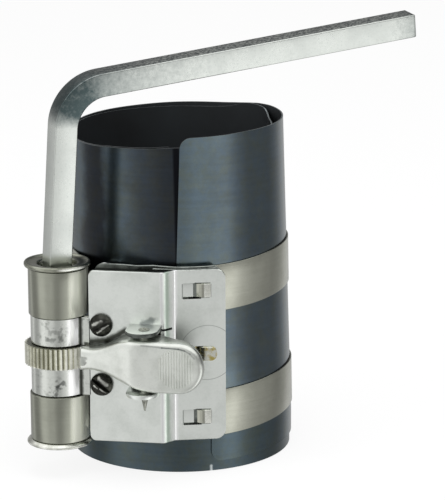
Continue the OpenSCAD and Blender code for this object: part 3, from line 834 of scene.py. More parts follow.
def worn_metal(
    name, light, dull, cloud, cloud_share, grain, rough, bump, pit_share=0.0, stretch=(1, 1, 1),
    smudge=(0.42, 0.72),
):
    """Metal sheet or bar: clouds of a duller tone, a fine grain that may run one way, and small pits.

    cloud and grain are sizes in millimetres, stretch makes the grain run along an axis, rough is a low and
    a high value, and smudge is where the clouds set in.
    """
    made, tree, shader, spot = new_material(name)
    clouds = node(
        tree, "ShaderNodeTexNoise", {"Vector": spot, "Scale": per(cloud), "Detail": 4.0, "Roughness": 0.6}
    )
    cloud_mask = node(tree, "ShaderNodeMapRange", [clouds, *smudge, 0.0, cloud_share])
    run = node(tree, "ShaderNodeMapping", {"Vector": spot, "Scale": stretch})
    grains = node(
        tree, "ShaderNodeTexNoise", {"Vector": run, "Scale": per(grain), "Detail": 3.0, "Roughness": 0.65}
    )
    grain_mask = node(tree, "ShaderNodeMapRange", [grains, 0.35, 0.7, -0.06, 0.1])
    total = node(tree, "ShaderNodeMath", [cloud_mask, grain_mask], operation="ADD", use_clamp=True)
    pits = node(
        tree, "ShaderNodeTexVoronoi", {"Vector": spot, "Scale": per(PIT_SPACING), "Randomness": 1.0},
        feature="F1",
    )
    pit_mask = node(tree, "ShaderNodeMapRange", [pits, 0.16, 0.05, 0.0, pit_share])
    patch = node(tree, "ShaderNodeMath", [pit_mask, clouds], operation="MULTIPLY")
    share = node(tree, "ShaderNodeMath", [total, patch], operation="ADD", use_clamp=True)
    tone = node(tree, "ShaderNodeMix", {"Factor": share, 6: tint(light), 7: tint(dull)}, data_type="RGBA")
    gloss = node(tree, "ShaderNodeMapRange", [clouds, 0.3, 0.7, *rough])
    dents = node(tree, "ShaderNodeBump", {"Strength": bump, "Distance": GRAIN_DEPTH * MM, "Height": grains})
    feed(tree, shader, {"Base Color": tone, "Roughness": gloss, "Normal": dents})
    return made


def coat(material, mask, tone):
    """Lays a tone over a material's colour by a mask, and returns the material's shader."""
    tree = material.node_tree
    shader = next(n for n in tree.nodes if n.type == "BSDF_PRINCIPLED")
    under = shader.inputs["Base Color"].links[0].from_socket
    mixed = node(tree, "ShaderNodeMix", {"Factor": mask, 6: under, 7: tint(tone)}, data_type="RGBA")
    feed(tree, shader, {"Base Color": mixed})
    return shader


def darken(material, name, clear, full, tone, ragged=0.0, about=None, above=None):
    """Another tone where a stored attribute, or its distance from a value, goes from clear to full.

    The edge may be ragged, and the tone fades out over FADE millimetres below the height above.
    """
    tree = material.node_tree
    stored = node(tree, "ShaderNodeAttribute", attribute_name=name, attribute_type="GEOMETRY").outputs["Fac"]
    if about is not None:
        stored = node(tree, "ShaderNodeMath", [stored, about], operation="SUBTRACT")
        stored = node(tree, "ShaderNodeMath", [stored], operation="ABSOLUTE")
    spot = node(tree, "ShaderNodeTexCoord").outputs["Object"]
    specks = node(
        tree, "ShaderNodeTexNoise", {"Vector": spot, "Scale": per(1.2), "Detail": 5.0, "Roughness": 0.75}
    )
    specks = node(tree, "ShaderNodeMath", [specks, -0.5], operation="ADD")
    edge = node(tree, "ShaderNodeMath", [specks, ragged, stored], operation="MULTIPLY_ADD")
    share = node(tree, "ShaderNodeMapRange", [edge, clear, full])
    if above is not None:
        height = node(tree, "ShaderNodeSeparateXYZ", [spot]).outputs["Z"]
        near = node(tree, "ShaderNodeMapRange", [height, (above - FADE) * MM, above * MM])
        share = node(tree, "ShaderNodeMath", [share, near], operation="MULTIPLY")
    coat(material, share, tone)


def smear(material, start, end, reach, tone, share, ragged=0.8):
    """Another tone along a straight line, in millimetres; ends of two values lie in the front view."""
    tree = material.node_tree
    spot = node(tree, "ShaderNodeTexCoord").outputs["Object"]
    deep = len(start) == 3
    a, b = (Vector(p if deep else (p[0], 0, p[1])) * MM for p in (start, end))
    flat = node(tree, "ShaderNodeVectorMath", [spot, (1, int(deep), 1)], operation="MULTIPLY")
    away = node(tree, "ShaderNodeVectorMath", [flat, a], operation="SUBTRACT")
    along = node(
        tree, "ShaderNodeVectorMath", [away, (b - a) / (b - a).length_squared], operation="DOT_PRODUCT"
    )
    along = node(tree, "ShaderNodeMath", [along, 0.0], operation="ADD", use_clamp=True)
    foot = node(tree, "ShaderNodeVectorMath", {0: b - a, "Scale": along}, operation="SCALE")
    gap = node(tree, "ShaderNodeVectorMath", [away, foot], operation="DISTANCE")
    specks = node(tree, "ShaderNodeTexNoise", {"Vector": spot, "Scale": per(1.5), "Detail": 4.0})
    gap = node(tree, "ShaderNodeMath", [specks, reach * MM * ragged, gap], operation="MULTIPLY_ADD")
    clear, full = ((edge + ragged / 2) * reach * MM for edge in (1.1, 0.1))
    mask = node(tree, "ShaderNodeMapRange", [gap, clear, full, 0.0, share], interpolation_type="SMOOTHSTEP")
    coat(material, mask, tone)


def level(bearing):
    """Level direction at a bearing from the front towards the right, in degrees."""
    return math.sin(math.radians(bearing)), -math.cos(math.radians(bearing)), 0


def paint_light_by_facing(material, way, clear, full, tone, metallic, speck=0.0):
    """Painted light and shade: another tone and metallic share on faces towards one way, by cosines; speck
    breaks it up.
    """
    tree = material.node_tree
    normal = node(tree, "ShaderNodeTexCoord").outputs["Normal"]
    facing = node(tree, "ShaderNodeVectorMath", [normal, way], operation="DOT_PRODUCT")
    mask = node(tree, "ShaderNodeMapRange", [facing, clear, full], interpolation_type="SMOOTHSTEP")
    if speck:
        spot = node(tree, "ShaderNodeTexCoord").outputs["Object"]
        grit = node(
            tree, "ShaderNodeTexNoise", {"Vector": spot, "Scale": per(0.7), "Detail": 2.0, "Roughness": 0.6}
        )
        grit = node(tree, "ShaderNodeMapRange", [grit, 0.42, 0.58, 1 - speck, 1.0])
        mask = node(tree, "ShaderNodeMath", [mask, grit], operation="MULTIPLY")
    shader = coat(material, mask, tone)
    metal = shader.inputs["Metallic"]
    before = metal.links[0].from_socket if metal.is_linked else metal.default_value
    bare = node(tree, "ShaderNodeMix", {"Factor": mask, 2: before, 3: metallic}, data_type="FLOAT")
    feed(tree, shader, {"Metallic": bare})


def scribe(material, centre, radius, width, tone, share):
    """Thin scratched ring on the plate's right part; sizes in millimetres."""
    tree = material.node_tree
    spot = node(tree, "ShaderNodeTexCoord").outputs["Object"]
    turned = node(
        tree, "ShaderNodeVectorRotate", {"Vector": spot, "Angle": -RIGHT_TILT}, rotation_type="Z_AXIS"
    )
    middle = Vector((centre[0], 0, centre[1])) * MM
    away = node(tree, "ShaderNodeVectorMath", [turned, middle], operation="SUBTRACT")
    flat = node(tree, "ShaderNodeVectorMath", [away, (1, 0, 1)], operation="MULTIPLY")
    far = node(tree, "ShaderNodeVectorMath", [flat], operation="LENGTH")
    off = node(tree, "ShaderNodeMath", [far, radius * MM], operation="SUBTRACT")
    off = node(tree, "ShaderNodeMath", [off], operation="ABSOLUTE")
    coat(material, node(tree, "ShaderNodeMapRange", [off, width * MM, 0.0, 0.0, share]), tone)


def blued_steel(tones):
    """Blued spring steel, tempered in oil; its tone along the strip, blue near the free end and nearly black
    further round, is partly temper colour and partly painted reflection of the studio's walls.
    """
    made, tree, shader, spot = new_material("blued_spring_steel")
    turn = node(tree, "ShaderNodeAttribute", attribute_name="turn", attribute_type="GEOMETRY").outputs["Fac"]
    cloud = node(
        tree, "ShaderNodeTexNoise", {"Vector": spot, "Scale": per(16), "Detail": 5.0, "Roughness": 0.6}
    )
    wander = node(tree, "ShaderNodeMath", [cloud, -0.5], operation="ADD")
    wander = node(tree, "ShaderNodeMath", [wander, 0.06, turn], operation="MULTIPLY_ADD")
    ramp = node(tree, "ShaderNodeValToRGB", [node(tree, "ShaderNodeMapRange", [wander, 0.0, TONE_RAMP_TURNS])])
    stops = ramp.color_ramp.elements
    light, dark = tones.blue_light, tones.blue_dark
    stops[0].position, stops[0].color = 0.0, tint(light)
    stops[1].position, stops[1].color = 1.0, tint(dark)
    for at, share in TEMPER_AND_REFLECTION_STOPS:
        stops.new(at).color = (*[d + (l - d) * share for l, d in zip(light, dark)], 1)
    # Towards its foot the strip fades to one even, paler blue, a painted reflection
    height = node(tree, "ShaderNodeSeparateXYZ", [spot]).outputs["Z"]
    foot = node(
        tree, "ShaderNodeMapRange", [height, 8 * MM, 26 * MM, 0.9, 0.0], interpolation_type="SMOOTHSTEP"
    )
    paler = node(tree, "ShaderNodeMix", {"Factor": foot, 6: ramp, 7: tint("#4f5a5f")}, data_type="RGBA")
    # Rolling marks round the coil and small stains
    run = node(tree, "ShaderNodeMapping", {"Vector": spot, "Scale": (0.08, 0.08, 1)})
    rolled = node(tree, "ShaderNodeTexNoise", {"Vector": run, "Scale": per(1.1), "Detail": 4.0})
    stains = node(
        tree, "ShaderNodeTexNoise", {"Vector": spot, "Scale": per(1.4), "Detail": 5.0, "Roughness": 0.75}
    )
    mixed = node(tree, "ShaderNodeMath", [rolled, stains], operation="ADD")
    fleck = node(tree, "ShaderNodeMapRange", [mixed, 0.7, 1.3, 0.91, 1.09])
    # Straw and blue patches of the temper film
    patchy = node(
        tree, "ShaderNodeTexNoise", {"Vector": spot, "Scale": per(5), "Detail": 8.0, "Roughness": 0.78}
    )
    straw = node(tree, "ShaderNodeMapRange", [patchy, 0.42, 0.62])
    film = node(
        tree, "ShaderNodeMix", {"Factor": straw, 6: (0.95, 1.0, 1.04, 1), 7: (1.04, 1.0, 0.85, 1)},
        data_type="RGBA",
    )
    tone = paler
    for over in (film, fleck):
        tone = node(
            tree, "ShaderNodeMix", {"Factor": 1.0, 6: tone, 7: over}, data_type="RGBA", blend_type="MULTIPLY"
        )
    gloss = node(tree, "ShaderNodeMapRange", [turn, 0.55, 0.95, 0.2, 0.31])
    lines = node(tree, "ShaderNodeBump", {"Strength": 0.03, "Distance": 0.04 * MM, "Height": rolled})
    feed(tree, shader, {"Base Color": tone, "Roughness": gloss, "Normal": lines})
    # Painted shadow beside the free end, where it stands off the coil beneath
    darken(made, "turn", 0.006, 0.003, "#1b1c20", about=1.006, above=50)
    # Painted highlight on the free end's lower corner
    smear(made, (12.9, -27.7, -0.3), (12.9, -27.7, 1.3), 0.6, "#ccd3d3", 0.9)
    return made


def shaded_inside():
    """Inside of the coil: a darker, matt copy of the same oxide as painted shade for the dim inside; being
    matt, it scatters a little light.
    """
    made, tree, shader, spot = new_material("blued_steel_in_painted_shade")
    oil = node(tree, "ShaderNodeTexNoise", {"Vector": spot, "Scale": per(12), "Detail": 3.0})
    tone = node(
        tree, "ShaderNodeMix", {"Factor": oil, 6: tint("#252627"), 7: tint("#313538")}, data_type="RGBA"
    )
    feed(tree, shader, {"Base Color": tone, "Metallic": 0.25, "Roughness": 0.42})
    return made


def make_materials(tones):
    """Every finish of the object, by the name of its slot or place."""
    made = {"sleeve": blued_steel(tones), "sleeve_inside": shaded_inside()}
    # Sheared edge of the strip: bare, so a thin bright line along the rim
    made["strip_edge"] = worn_metal("sheared_steel_edge", "#969d9f", "#454d50", 5, 0.7, 0.6, (0.3, 0.45), 0.1)
    # Bare strap steel: rolled along its length, so a satin sheen with lines round the sleeve
    made["strap"] = worn_metal(
        "rolled_strap_steel", tones.strap, "#8c8d80", 9, 0.35, 1.4, (0.17, 0.23), 0.1, stretch=ROLLED
    )
    # Zinc plate on pressed sheet: pale, even and slightly cloudy; the front plate has its own, for its
    # painted shade and highlights
    for finish, name in (("zinc", "zinc_plated_sheet"), ("plate", "pressed_zinc_plate_with_painted_light")):
        made[finish] = worn_metal(name, tones.zinc, "#c6ccc5", 9, 0.5, 0.7, (0.28, 0.36), 0.08, 0.12)
    for marking in PLATE_PAINTED_LIGHT:
        smear(made["plate"], *marking)
    # Painted shade lines round the slots of the strap hooks
    for z in SLOT_Z:
        for x0, z0, x1, z1, reach, tone, share in SLOT_SHADE_LINES:
            smear(made["plate"], (x0, z + z0), (x1, z + z1), reach, tone, share)
    # A ring scratched round the anchor
    scribe(made["plate"], (3.4, 34.4), 7.5, 0.16, "#5c625c", 0.55)
    # Release lever: the same plating, dulled by thumbs
    made["lever"] = worn_metal(
        "thumbed_zinc_lever_with_painted_shade", "#e2e5df", "#b6bab2", 5, 0.5, 0.5, (0.27, 0.35), 0.14, 0.25
    )
    # Painted shade in the crease inside its rolled lip
    crease = [(-2.5, 39.95), (3.0, 39.6)]
    crease += [(PAD.x + 5.6 * math.cos(a), PAD.y + 5.6 * math.sin(a)) for a in (1.5, 1.2, 0.9, 0.6)]
    for start, end, share in zip(crease, crease[1:], (0.45, 0.8, 0.8, 0.6, 0.35)):
        smear(made["lever"], start, end, 0.33, "#555b5a", share)
    # Dark zinc: the same zinc darkened as painted shade, for the saddle plate in the gap behind the front
    # plate and for other shaded faces
    made["saddle"] = worn_metal("zinc_in_painted_shade", "#7b807b", "#2e312f", 4, 0.9, 0.8, (0.25, 0.4), 0.1, 0.2)
    # Sheared upper edge of the saddle plate and its other faces that look up or down: the same zinc, less
    # darkened, as painted shade, and bare in places
    made["brow"] = worn_metal("zinc_tops_in_lighter_painted_shade", "#a7ada8", "#3a3e3b", 3, 0.9, 0.6, (0.3, 0.4), 0.1)
    # Rolled knuckles: the same zinc, smudged by handling
    made["knuckle"] = worn_metal(
        "knuckle_zinc_with_smudges_and_painted_light", "#d6d9d3", tones.zinc_dull, 3.2, 0.6, 0.7, (0.16, 0.26), 0.1, 0.1,
        smudge=(0.54, 0.7),
    )
    # Painted highlight: whiter and less metallic on faces towards the right front, where the tongue meets the
    # plate
    paint_light_by_facing(made["knuckle"], level(66), 0.76, 0.92, "#ffffff", 0.4)
    # Painted shade in the gap where the knuckles run into their tails, on the knuckles and on the plate
    for finish in ("knuckle", "plate"):
        for low, high in ((22, 30), (37, 46)):
            smear(made[finish], (-20.5, low), (-20.5, high), 0.75, "#2c2e28", 0.85)
    # Smudges on the knuckles' fronts, and painted shade in the bend where they leave the plate
    for start, end, reach, share in KNUCKLE_SMUDGES:
        smear(made["knuckle"], start, end, reach, "#454945", share, 6.0)
    darken(made["knuckle"], "bend_shade", 0.1, 0.75, "#31332d", 0.4)
    # Plated square bar: drawn, then plated, so fine speckle and small dark pits
    made["key"] = worn_metal(
        "plated_square_bar_with_painted_light", tones.key, "#a4aba8", 12, 0.22, 0.4, (0.24, 0.32), 0.35, 0.8
    )
    # Painted shade on its upper face, broken by grit, a painted highlight on the edge in front of it, and the
    # bend is stained
    paint_light_by_facing(made["key"], (-0.16, 0.05, 0.985), 0.86, 0.97, "#5a6264", 1.0, 1.0)
    paint_light_by_facing(made["key"], (-0.1, -0.7, 0.7), 0.9, 0.97, "#f4f5f2", 0.35)
    darken(made["key"], "bend", 0.05, 1.0, "#4a5758", 0.75)
    # Oiled spool steel: turned, so rings round its axis and an olive cast
    made["spool"] = worn_metal(
        "turned_spool_steel", tones.spool, "#67685b", 5, 0.5, 1.0, (0.22, 0.32), 0.1, stretch=(0.2, 0.2, 2.0)
    )
    # Flanges: the same steel, with a painted highlight on faces towards the right front and painted shade on
    # the top flange beside the key
    made["flange"] = worn_metal("flange_steel_with_painted_light", "#a5a79a", "#67685b", 4, 0.6, 0.8, (0.2, 0.3), 0.1)
    paint_light_by_facing(made["flange"], level(44), 0.8, 0.94, "#f0f1ea", 0.7)
    smear(made["flange"], (-20.6, -35.5, 58.4), (-22.5, -28.6, 58.4), 2.4, "#33362b", 0.85)
    # Lower flange: the same steel, painted bright in place of the white floor's reflection in its flare
    made["rim"] = worn_metal("flange_steel_painted_bright", "#f0f1e9", "#9d9f92", 3, 0.6, 0.7, (0.2, 0.3), 0.1)
    # Ratchet teeth: hobbed and polished by the pawl, darker towards the roots
    made["teeth"] = worn_metal("polished_tooth_steel", "#e6e6da", "#a3a394", 2, 0.4, 0.6, (0.2, 0.32), 0.08)
    darken(made["teeth"], "tooth", 0.55, 0.05, "#a9a897")
    # Wound strap: the same bare steel, polished by winding
    made["coil"] = worn_metal(
        "wound_strap_steel_with_painted_sheen", "#a2a498", "#86887c", 8, 0.35, 1.2, (0.17, 0.24), 0.06, stretch=ROLLED
    )
    # Painted sheen: paler and less metallic on faces towards the right front, where they look at the bracket
    paint_light_by_facing(made["coil"], level(64), 0.82, 0.94, "#cdcfc2", 0.45)
    # Dark oiled steel: blackened screws, with pale streaks beside their slots
    made["dark"] = worn_metal(
        "blackened_screw_steel", tones.dark, "#1b1b19", 2.2, 0.75, 0.5, (0.12, 0.22), 0.15, 0.1,
        smudge=(0.36, 0.6),
    )
    for _, z, turn in SCREWS:
        a = math.radians(turn)
        middle, along = Vector((SCREW_X, z)), Vector((math.cos(a), math.sin(a)))
        side = Vector((-along.y, along.x))
        for off, first, last, reach in (
            (1.25, -1.5, 1.0, 0.55), (-0.85, 0.2, 2.1, 0.26), (-1.15, -1.5, -0.3, 0.3)
        ):
            start, end = (middle + side * off + along * d for d in (first, last))
            smear(made["dark"], start, end, reach, "#d0d1ca", 0.7, 3.0)
    # Bright pin steel: ground and bare
    made["pin"] = worn_metal("ground_pin_steel", "#a9aba2", "#4a4b43", 0.9, 0.8, 0.5, (0.22, 0.35), 0.1)
    # Yellow passivated zinc: a thin gold film that is rubbed through
    made["yellow"] = worn_metal(
        "yellow_zinc_tab", "#d5d6cc", tones.yellow, 1.3, 1.0, 0.5, (0.22, 0.35), 0.1, 0.2, smudge=(0.44, 0.62)
    )
    return made


class RINGCOMPRESSOR_OT_finishes(bpy.types.Operator):
    """Makes the materials"""

    bl_idname = "ringcompressor.finishes"
    bl_label = "Finishes"

    def execute(self, context):
        FINISH.update(make_materials(context.scene.ring_compressor_colours))
        return {"FINISHED"}


class RINGCOMPRESSOR_OT_sleeve(bpy.types.Operator):
    """Coils the sleeve's strip"""

    bl_idname = "ringcompressor.sleeve"
    bl_label = "Sleeve"

    def execute(self, context):
        s = context.scene.ring_compressor_sizes
        values = {
            "Turns": 2.0, "Radius": s.sleeve_radius, "Land": LAND * MM, "Corner": 3 * MM, "Start": FREE_END,
            "Material": FINISH["sleeve"], "Inside Material": FINISH["sleeve_inside"],
            "Edge Material": FINISH["strip_edge"],
        }
        for label in STRIP_SIZES:
            values[label] = getattr(s, "strip_" + label.lower())
        mesh = run_tree("coiled_sleeve", coil_tree(), values)
        piece("coiled_sleeve", mesh, "frame", "blued_spring_steel", "sleeve", angle=40)
        return {"FINISHED"}


class RINGCOMPRESSOR_OT_straps(bpy.types.Operator):
    """Lays both straps and their wound lengths"""

    bl_idname = "ringcompressor.straps"
    bl_label = "Straps"

    def execute(self, context):
        s = context.scene.ring_compressor_sizes
        tree = ribbon_tree()
        width, thick = s.strap_width, s.strap_thickness
        radius, climb, taper, lean = (
            v / MM for v in (s.sleeve_radius, s.strap_rise, s.strip_taper, s.strip_lean)
        )
        # On the sleeve: half the growth of one turn, the strap's mid-line outside it, and its first climb
        half_lap, seat, hook_at, hook_gap, climbs = 0.23, 0.29, math.radians(-74), 1.2, math.radians(75)
        # The run for the spool: where it eases off the wrap, its radius, its fall over the wall from a height
        # above the land, and the radius round the spool's axis where it ends
        opens, run_radius, run_fall, fall_from, meet = math.radians(130), 31.505, 2.3, 2.8, 8.525
        for name, low, slot_z in STRAPS:
            mid = run_radius - run_fall * max(0, low - fall_from - LAND) / WALL
            leave = math.atan2(SPOOL.y, SPOOL.x) - math.acos((mid + meet) / SPOOL.length)
            start, end = hook_at + math.asin(hook_gap / mid), leave + TAU
            points = []
            for i in range(161):
                a = start + (end - start) * i / 160
                lift = climb * (1 - math.cos(within((a - start) / climbs) * math.pi)) / 2
                lift *= (1 + math.cos(within((a - math.pi / 2) / (end - math.pi / 2)) * math.pi)) / 2
                # Lies on the outer wrap, then eases out to the run that leaves for the spool
                z = low + STRAP_MIDDLE + lift
                share = (z - LAND) / WALL
                turn = (a - FREE_END) / TAU
                wrap = radius + half_lap * math.cos(min(turn, 0.5) * TAU) - share * taper + seat
                ease = within((a - opens) / (end - opens))
                ease = ease * ease * (3 - 2 * ease)
                r = wrap + (mid - wrap) * ease
                points.append((r * math.cos(a) - share * lean * (1 - ease), r * math.sin(a), z))
            away = Vector((math.cos(leave), math.sin(leave)))
            last, goal = away * mid, SPOOL - away * meet
            points += [(*last.lerp(goal, i / 8), low + STRAP_MIDDLE) for i in range(1, 9)]
            band = ribbon(
                name + "_band", tree, points, width, thick, 0.12 * MM, FINISH["strap"], taper / WALL
            )
            hook = rounded([on_right(x, d) for x, d in HOOK], 0.9, 5)
            tab = ribbon(
                name + "_hook", tree, [(p.x, p.y, slot_z) for p in hook], 3.7 * MM, thick, 0.15 * MM,
                FINISH["zinc"],
            )
            for finish in ("saddle", "strap", "rim"):
                tab.materials.append(FINISH[finish])
            # Painted shade where the hook dips through the slot; its rolled end takes the bright finish of
            # the lower flange
            for face in tab.polygons:
                along = (RIGHT_FRAME.inverted() @ (face.center / MM)).x
                face.material_index = sum(along > limit for limit in (-0.3, 0.7, 2.5))
            piece(
                name + "_strap_band", joined(name + "_strap_band", [band, tab]), "frame", "strap_steel",
                name + "_strap", angle=40,
            )
            # Three turns on the spool, from its outside in
            turns, outer, growth = [], 7.875, 0.48
            for i in range(289):
                turn = 3 * i / 288
                a, r = leave + math.pi - TAU * turn, outer - growth * turn
                turns.append((SPOOL.x + r * math.cos(a), SPOOL.y + r * math.sin(a), low + STRAP_MIDDLE))
            wound = ribbon(name + "_coil", tree, turns, width, thick, 0.1 * MM, FINISH["coil"])
            piece(name + "_wound_strap", wound, "spool", "strap_steel", name + "_strap_coil", angle=40)
        return {"FINISHED"}


class RINGCOMPRESSOR_OT_bracket(bpy.types.Operator):
    """Builds the saddle plate, the front plate with its knuckles and lugs, and the sleeve's anchor"""

    bl_idname = "ringcompressor.bracket"
    bl_label = "Bracket"

    def execute(self, context):
        s = context.scene.ring_compressor_sizes
        low, high = PLATE_Z
        # Saddle plate
        bm = bmesh.new()
        path = arc((0, 0), SADDLE_RADIUS, math.radians(-123), math.radians(-59.6), 64)
        sheet_along(bm, ends_dense(path, 2.6), 1.0, low, high, 0.22, 2.6, 2.6)
        saddle = from_bmesh("saddle", bm)
        cut = bmesh.new()
        for z in (51.2, 16.5):
            box(cut, (-1.5, -1, z - 2.0), (1.3, 4, z + 2.0), RIGHT_FRAME)
        box(cut, (0.1, -1, 31.9), (2.4, 4, 36.3), RIGHT_FRAME)
        # Upright faces take the dark zinc as painted shade, and faces that look up or down take the less
        # darkened zinc
        saddle = two_tone(carved("saddle", saddle, cut), "saddle", "brow")
        # Its left end keeps the plain zinc, without painted shade
        saddle.materials.append(FINISH["zinc"])
        for face in saddle.polygons:
            if face.center.x < -13 * MM:
                face.material_index = 2
        # Its upper edge runs on flat behind the front plate
        bm = bmesh.new()
        brow_radius = 32.25
        brow = arc((0, 0), brow_radius, math.radians(-61), math.radians(-93), 16)
        brow += spread(rounded([brow[-1], (-5.5, -33.9), (-17.1, -34.3)], 3, 8), 2)[1:]
        sheet_along(bm, ends_dense(brow, 2.2), 0.7, 53.8, 58.6, 0.15, 2.2, 2.2)
        for vert in bm.verts:
            vert.co.z -= min(max(0, vert.co.x + 11) * 0.055, 0.85)
        # The brow takes the same painted shade on its upright faces
        saddle = joined("saddle", [saddle, two_tone(from_bmesh("brow", bm), "saddle", "brow")])
        piece("curved_saddle_plate", saddle, "frame", "zinc_sheet", "saddle_plate")
        # Front sheet with its joggle
        t = s.sheet_thickness / MM
        front = [(PLATE_LEFT, PLATE_FRONT + t / 2), (1.4 + t * 0.2, PLATE_FRONT + t / 2)]
        front += [on_right(RIGHT_SPAN[0] + t * 0.12, t / 2), on_right(RIGHT_SPAN[1], t / 2)]
        path = spread(rounded(front, s.bend_radius / MM, 10), 4)
        bm = bmesh.new()
        sheet_along(bm, ends_dense(path, 2.6), t, low, high, 0.2, 1.5, 2.6)
        sheet = from_bmesh("sheet", bm)
        cut = bmesh.new()
        for z in SLOT_Z:
            box(cut, (-3.06, -1, z - 2.15), (1.75, 2, z + 2.15), RIGHT_FRAME)
        box(cut, (0.1, -1, 31.95), (2.3, 2, 36.25), RIGHT_FRAME)
        box(cut, (-7.4, PLATE_FRONT - 1, 26.4), (1.0, PLATE_FRONT + 3, 41.9))
        box(cut, (1.0, PLATE_FRONT - 1, 41.3), (3.7, PLATE_FRONT + 5, 41.9))
        for _, z, _ in SCREWS:
            bore = Matrix.Translation((SCREW_X, PLATE_FRONT, z)) @ Matrix.Rotation(-math.pi / 2, 4, "X")
            lathe(cut, [(0, -1), (1.6, -1), (1.6, 4), (0, 4)], bore, 32)
        sheet = painted(carved("sheet", sheet, cut), FINISH["plate"])
        parts = [sheet]
        # Lugs lanced out for the pin
        mid, half = PIN.x - 0.6, 4.4
        # The upper lug's upright faces take the dark zinc as painted shade; the lower lug's stay plain zinc
        for z0, side in ((41.95, "saddle"), (25.1, "zinc")):
            outline = arc((mid, PIN.y), half, -math.pi, 0, 32)
            outline += [Vector((mid + half, PLATE_FRONT + 0.4)), Vector((mid - half, PLATE_FRONT + 0.4))]
            bm = bmesh.new()
            slab(bm, outline, z0, z0 + t, 0.3)
            parts.append(two_tone(from_bmesh("lug", bm), side, "zinc"))
        # Rolled knuckles with their tongues and tails
        roll, tall, tail_x = 6.785, 7.7, SCREW_X + 3.4
        near, far = PLATE_FRONT + t / 2, PLATE_FRONT + t * 1.5 + 0.1
        a0, a1 = (math.asin((y - SPOOL.y) / roll) for y in (near, far))
        ring = arc(SPOOL, roll, a0, a1 - TAU, 84)
        for z0, tail_top, screw_z in ((36.6, 45.9, UPPER_SCREW_Z), (22.8, 30.5, LOWER_SCREW_Z)):
            inlet = rounded([(PLATE_LEFT + 0.2, near), (ring[0].x + 0.1, near), ring[3]], 0.35, 6)
            bm = bmesh.new()
            # Painted shade along the bend where the knuckle leaves the plate
            bend_shade = bm.verts.layers.float.new("bend_shade")
            for row in sheet_along(bm, spread(inlet, 0.4) + ring[4:-2], t, z0, z0 + tall, 0.2):
                for vert in row:
                    vert[bend_shade] = max(0, 1 - abs(vert.co.x + 20.75) / 0.55)
            tail = rounded([ring[-4], (ring[-1].x + 0.2, far), (tail_x, far)], 0.9, 6)
            sheet_along(bm, tail, t, z0, z0 + tall, 0.2)
            foot = [Vector((PLATE_LEFT, far)), Vector((tail_x, far))]
            sheet_along(bm, foot, t, min(z0, screw_z - 3.4), tail_top, 0.2)
            parts.append(plated("knuckle", bm, "knuckle"))
        piece(
            "pressed_front_plate", joined("pressed_front_plate", parts), "frame", "zinc_sheet", "front_plate"
        )
        # Sleeve anchor
        line = rounded([on_right(x, d) for x, d in TONGUE], 0.8, 5)
        bm = bmesh.new()
        sheet_along(bm, ends_dense(line, 1.5), 0.5, LEVER_Z - 1.3, LEVER_Z + 2.5, 0.14, 0, 1.5)
        foot = [on_right(-0.9, 2.5), on_right(3.4, 2.5)]
        sheet_along(bm, foot, 0.5, LEVER_Z - 1.3, LEVER_Z + 2.5, 0.1)
        piece(
            "sleeve_anchor_tab", plated("sleeve_anchor_tab", bm, "yellow"), "frame", "yellow_zinc",
            "sleeve_anchor",
        )
        return {"FINISHED"}


class RINGCOMPRESSOR_OT_screws(bpy.types.Operator):
    """Builds the slotted clamp screws and their nuts"""

    bl_idname = "ringcompressor.screws"
    bl_label = "Clamp screws and nuts"

    def execute(self, context):
        shank = [(0, -5.3), (1.3, -5.3), (1.5, -5.0), (1.5, -0.05), (2.95, -0.05), (3.1, 0.1)]
        quarter = [math.pi / 2 * i / 10 for i in range(10)]
        dome = [(3.1 * math.cos(a), 0.55 + 1.45 * math.sin(a)) for a in quarter] + [(0, 2.0)]
        for name, z, turn in SCREWS:
            face = Matrix.Translation((SCREW_X, PLATE_FRONT, z)) @ Matrix.Rotation(math.pi / 2, 4, "X")
            bm = bmesh.new()
            lathe(bm, shank + dome, face, 64)
            body = from_bmesh("screw", bm)
            cut = bmesh.new()
            box(cut, (-4, -0.5, 0.5), (4, 0.5, 4), face @ Matrix.Rotation(math.radians(turn), 4, "Z"))
            body = painted(carved("screw", body, cut), FINISH["dark"])
            piece(name + "_slotted_screw", body, "frame", "dark_steel", name + "_clamp_screw")
            nut = eased("nut", name + "_clamp_nut", 0.22)
            piece(name + "_hex_nut", painted(nut, FINISH["dark"]), "frame", "dark_steel", name + "_clamp_nut")
        return {"FINISHED"}


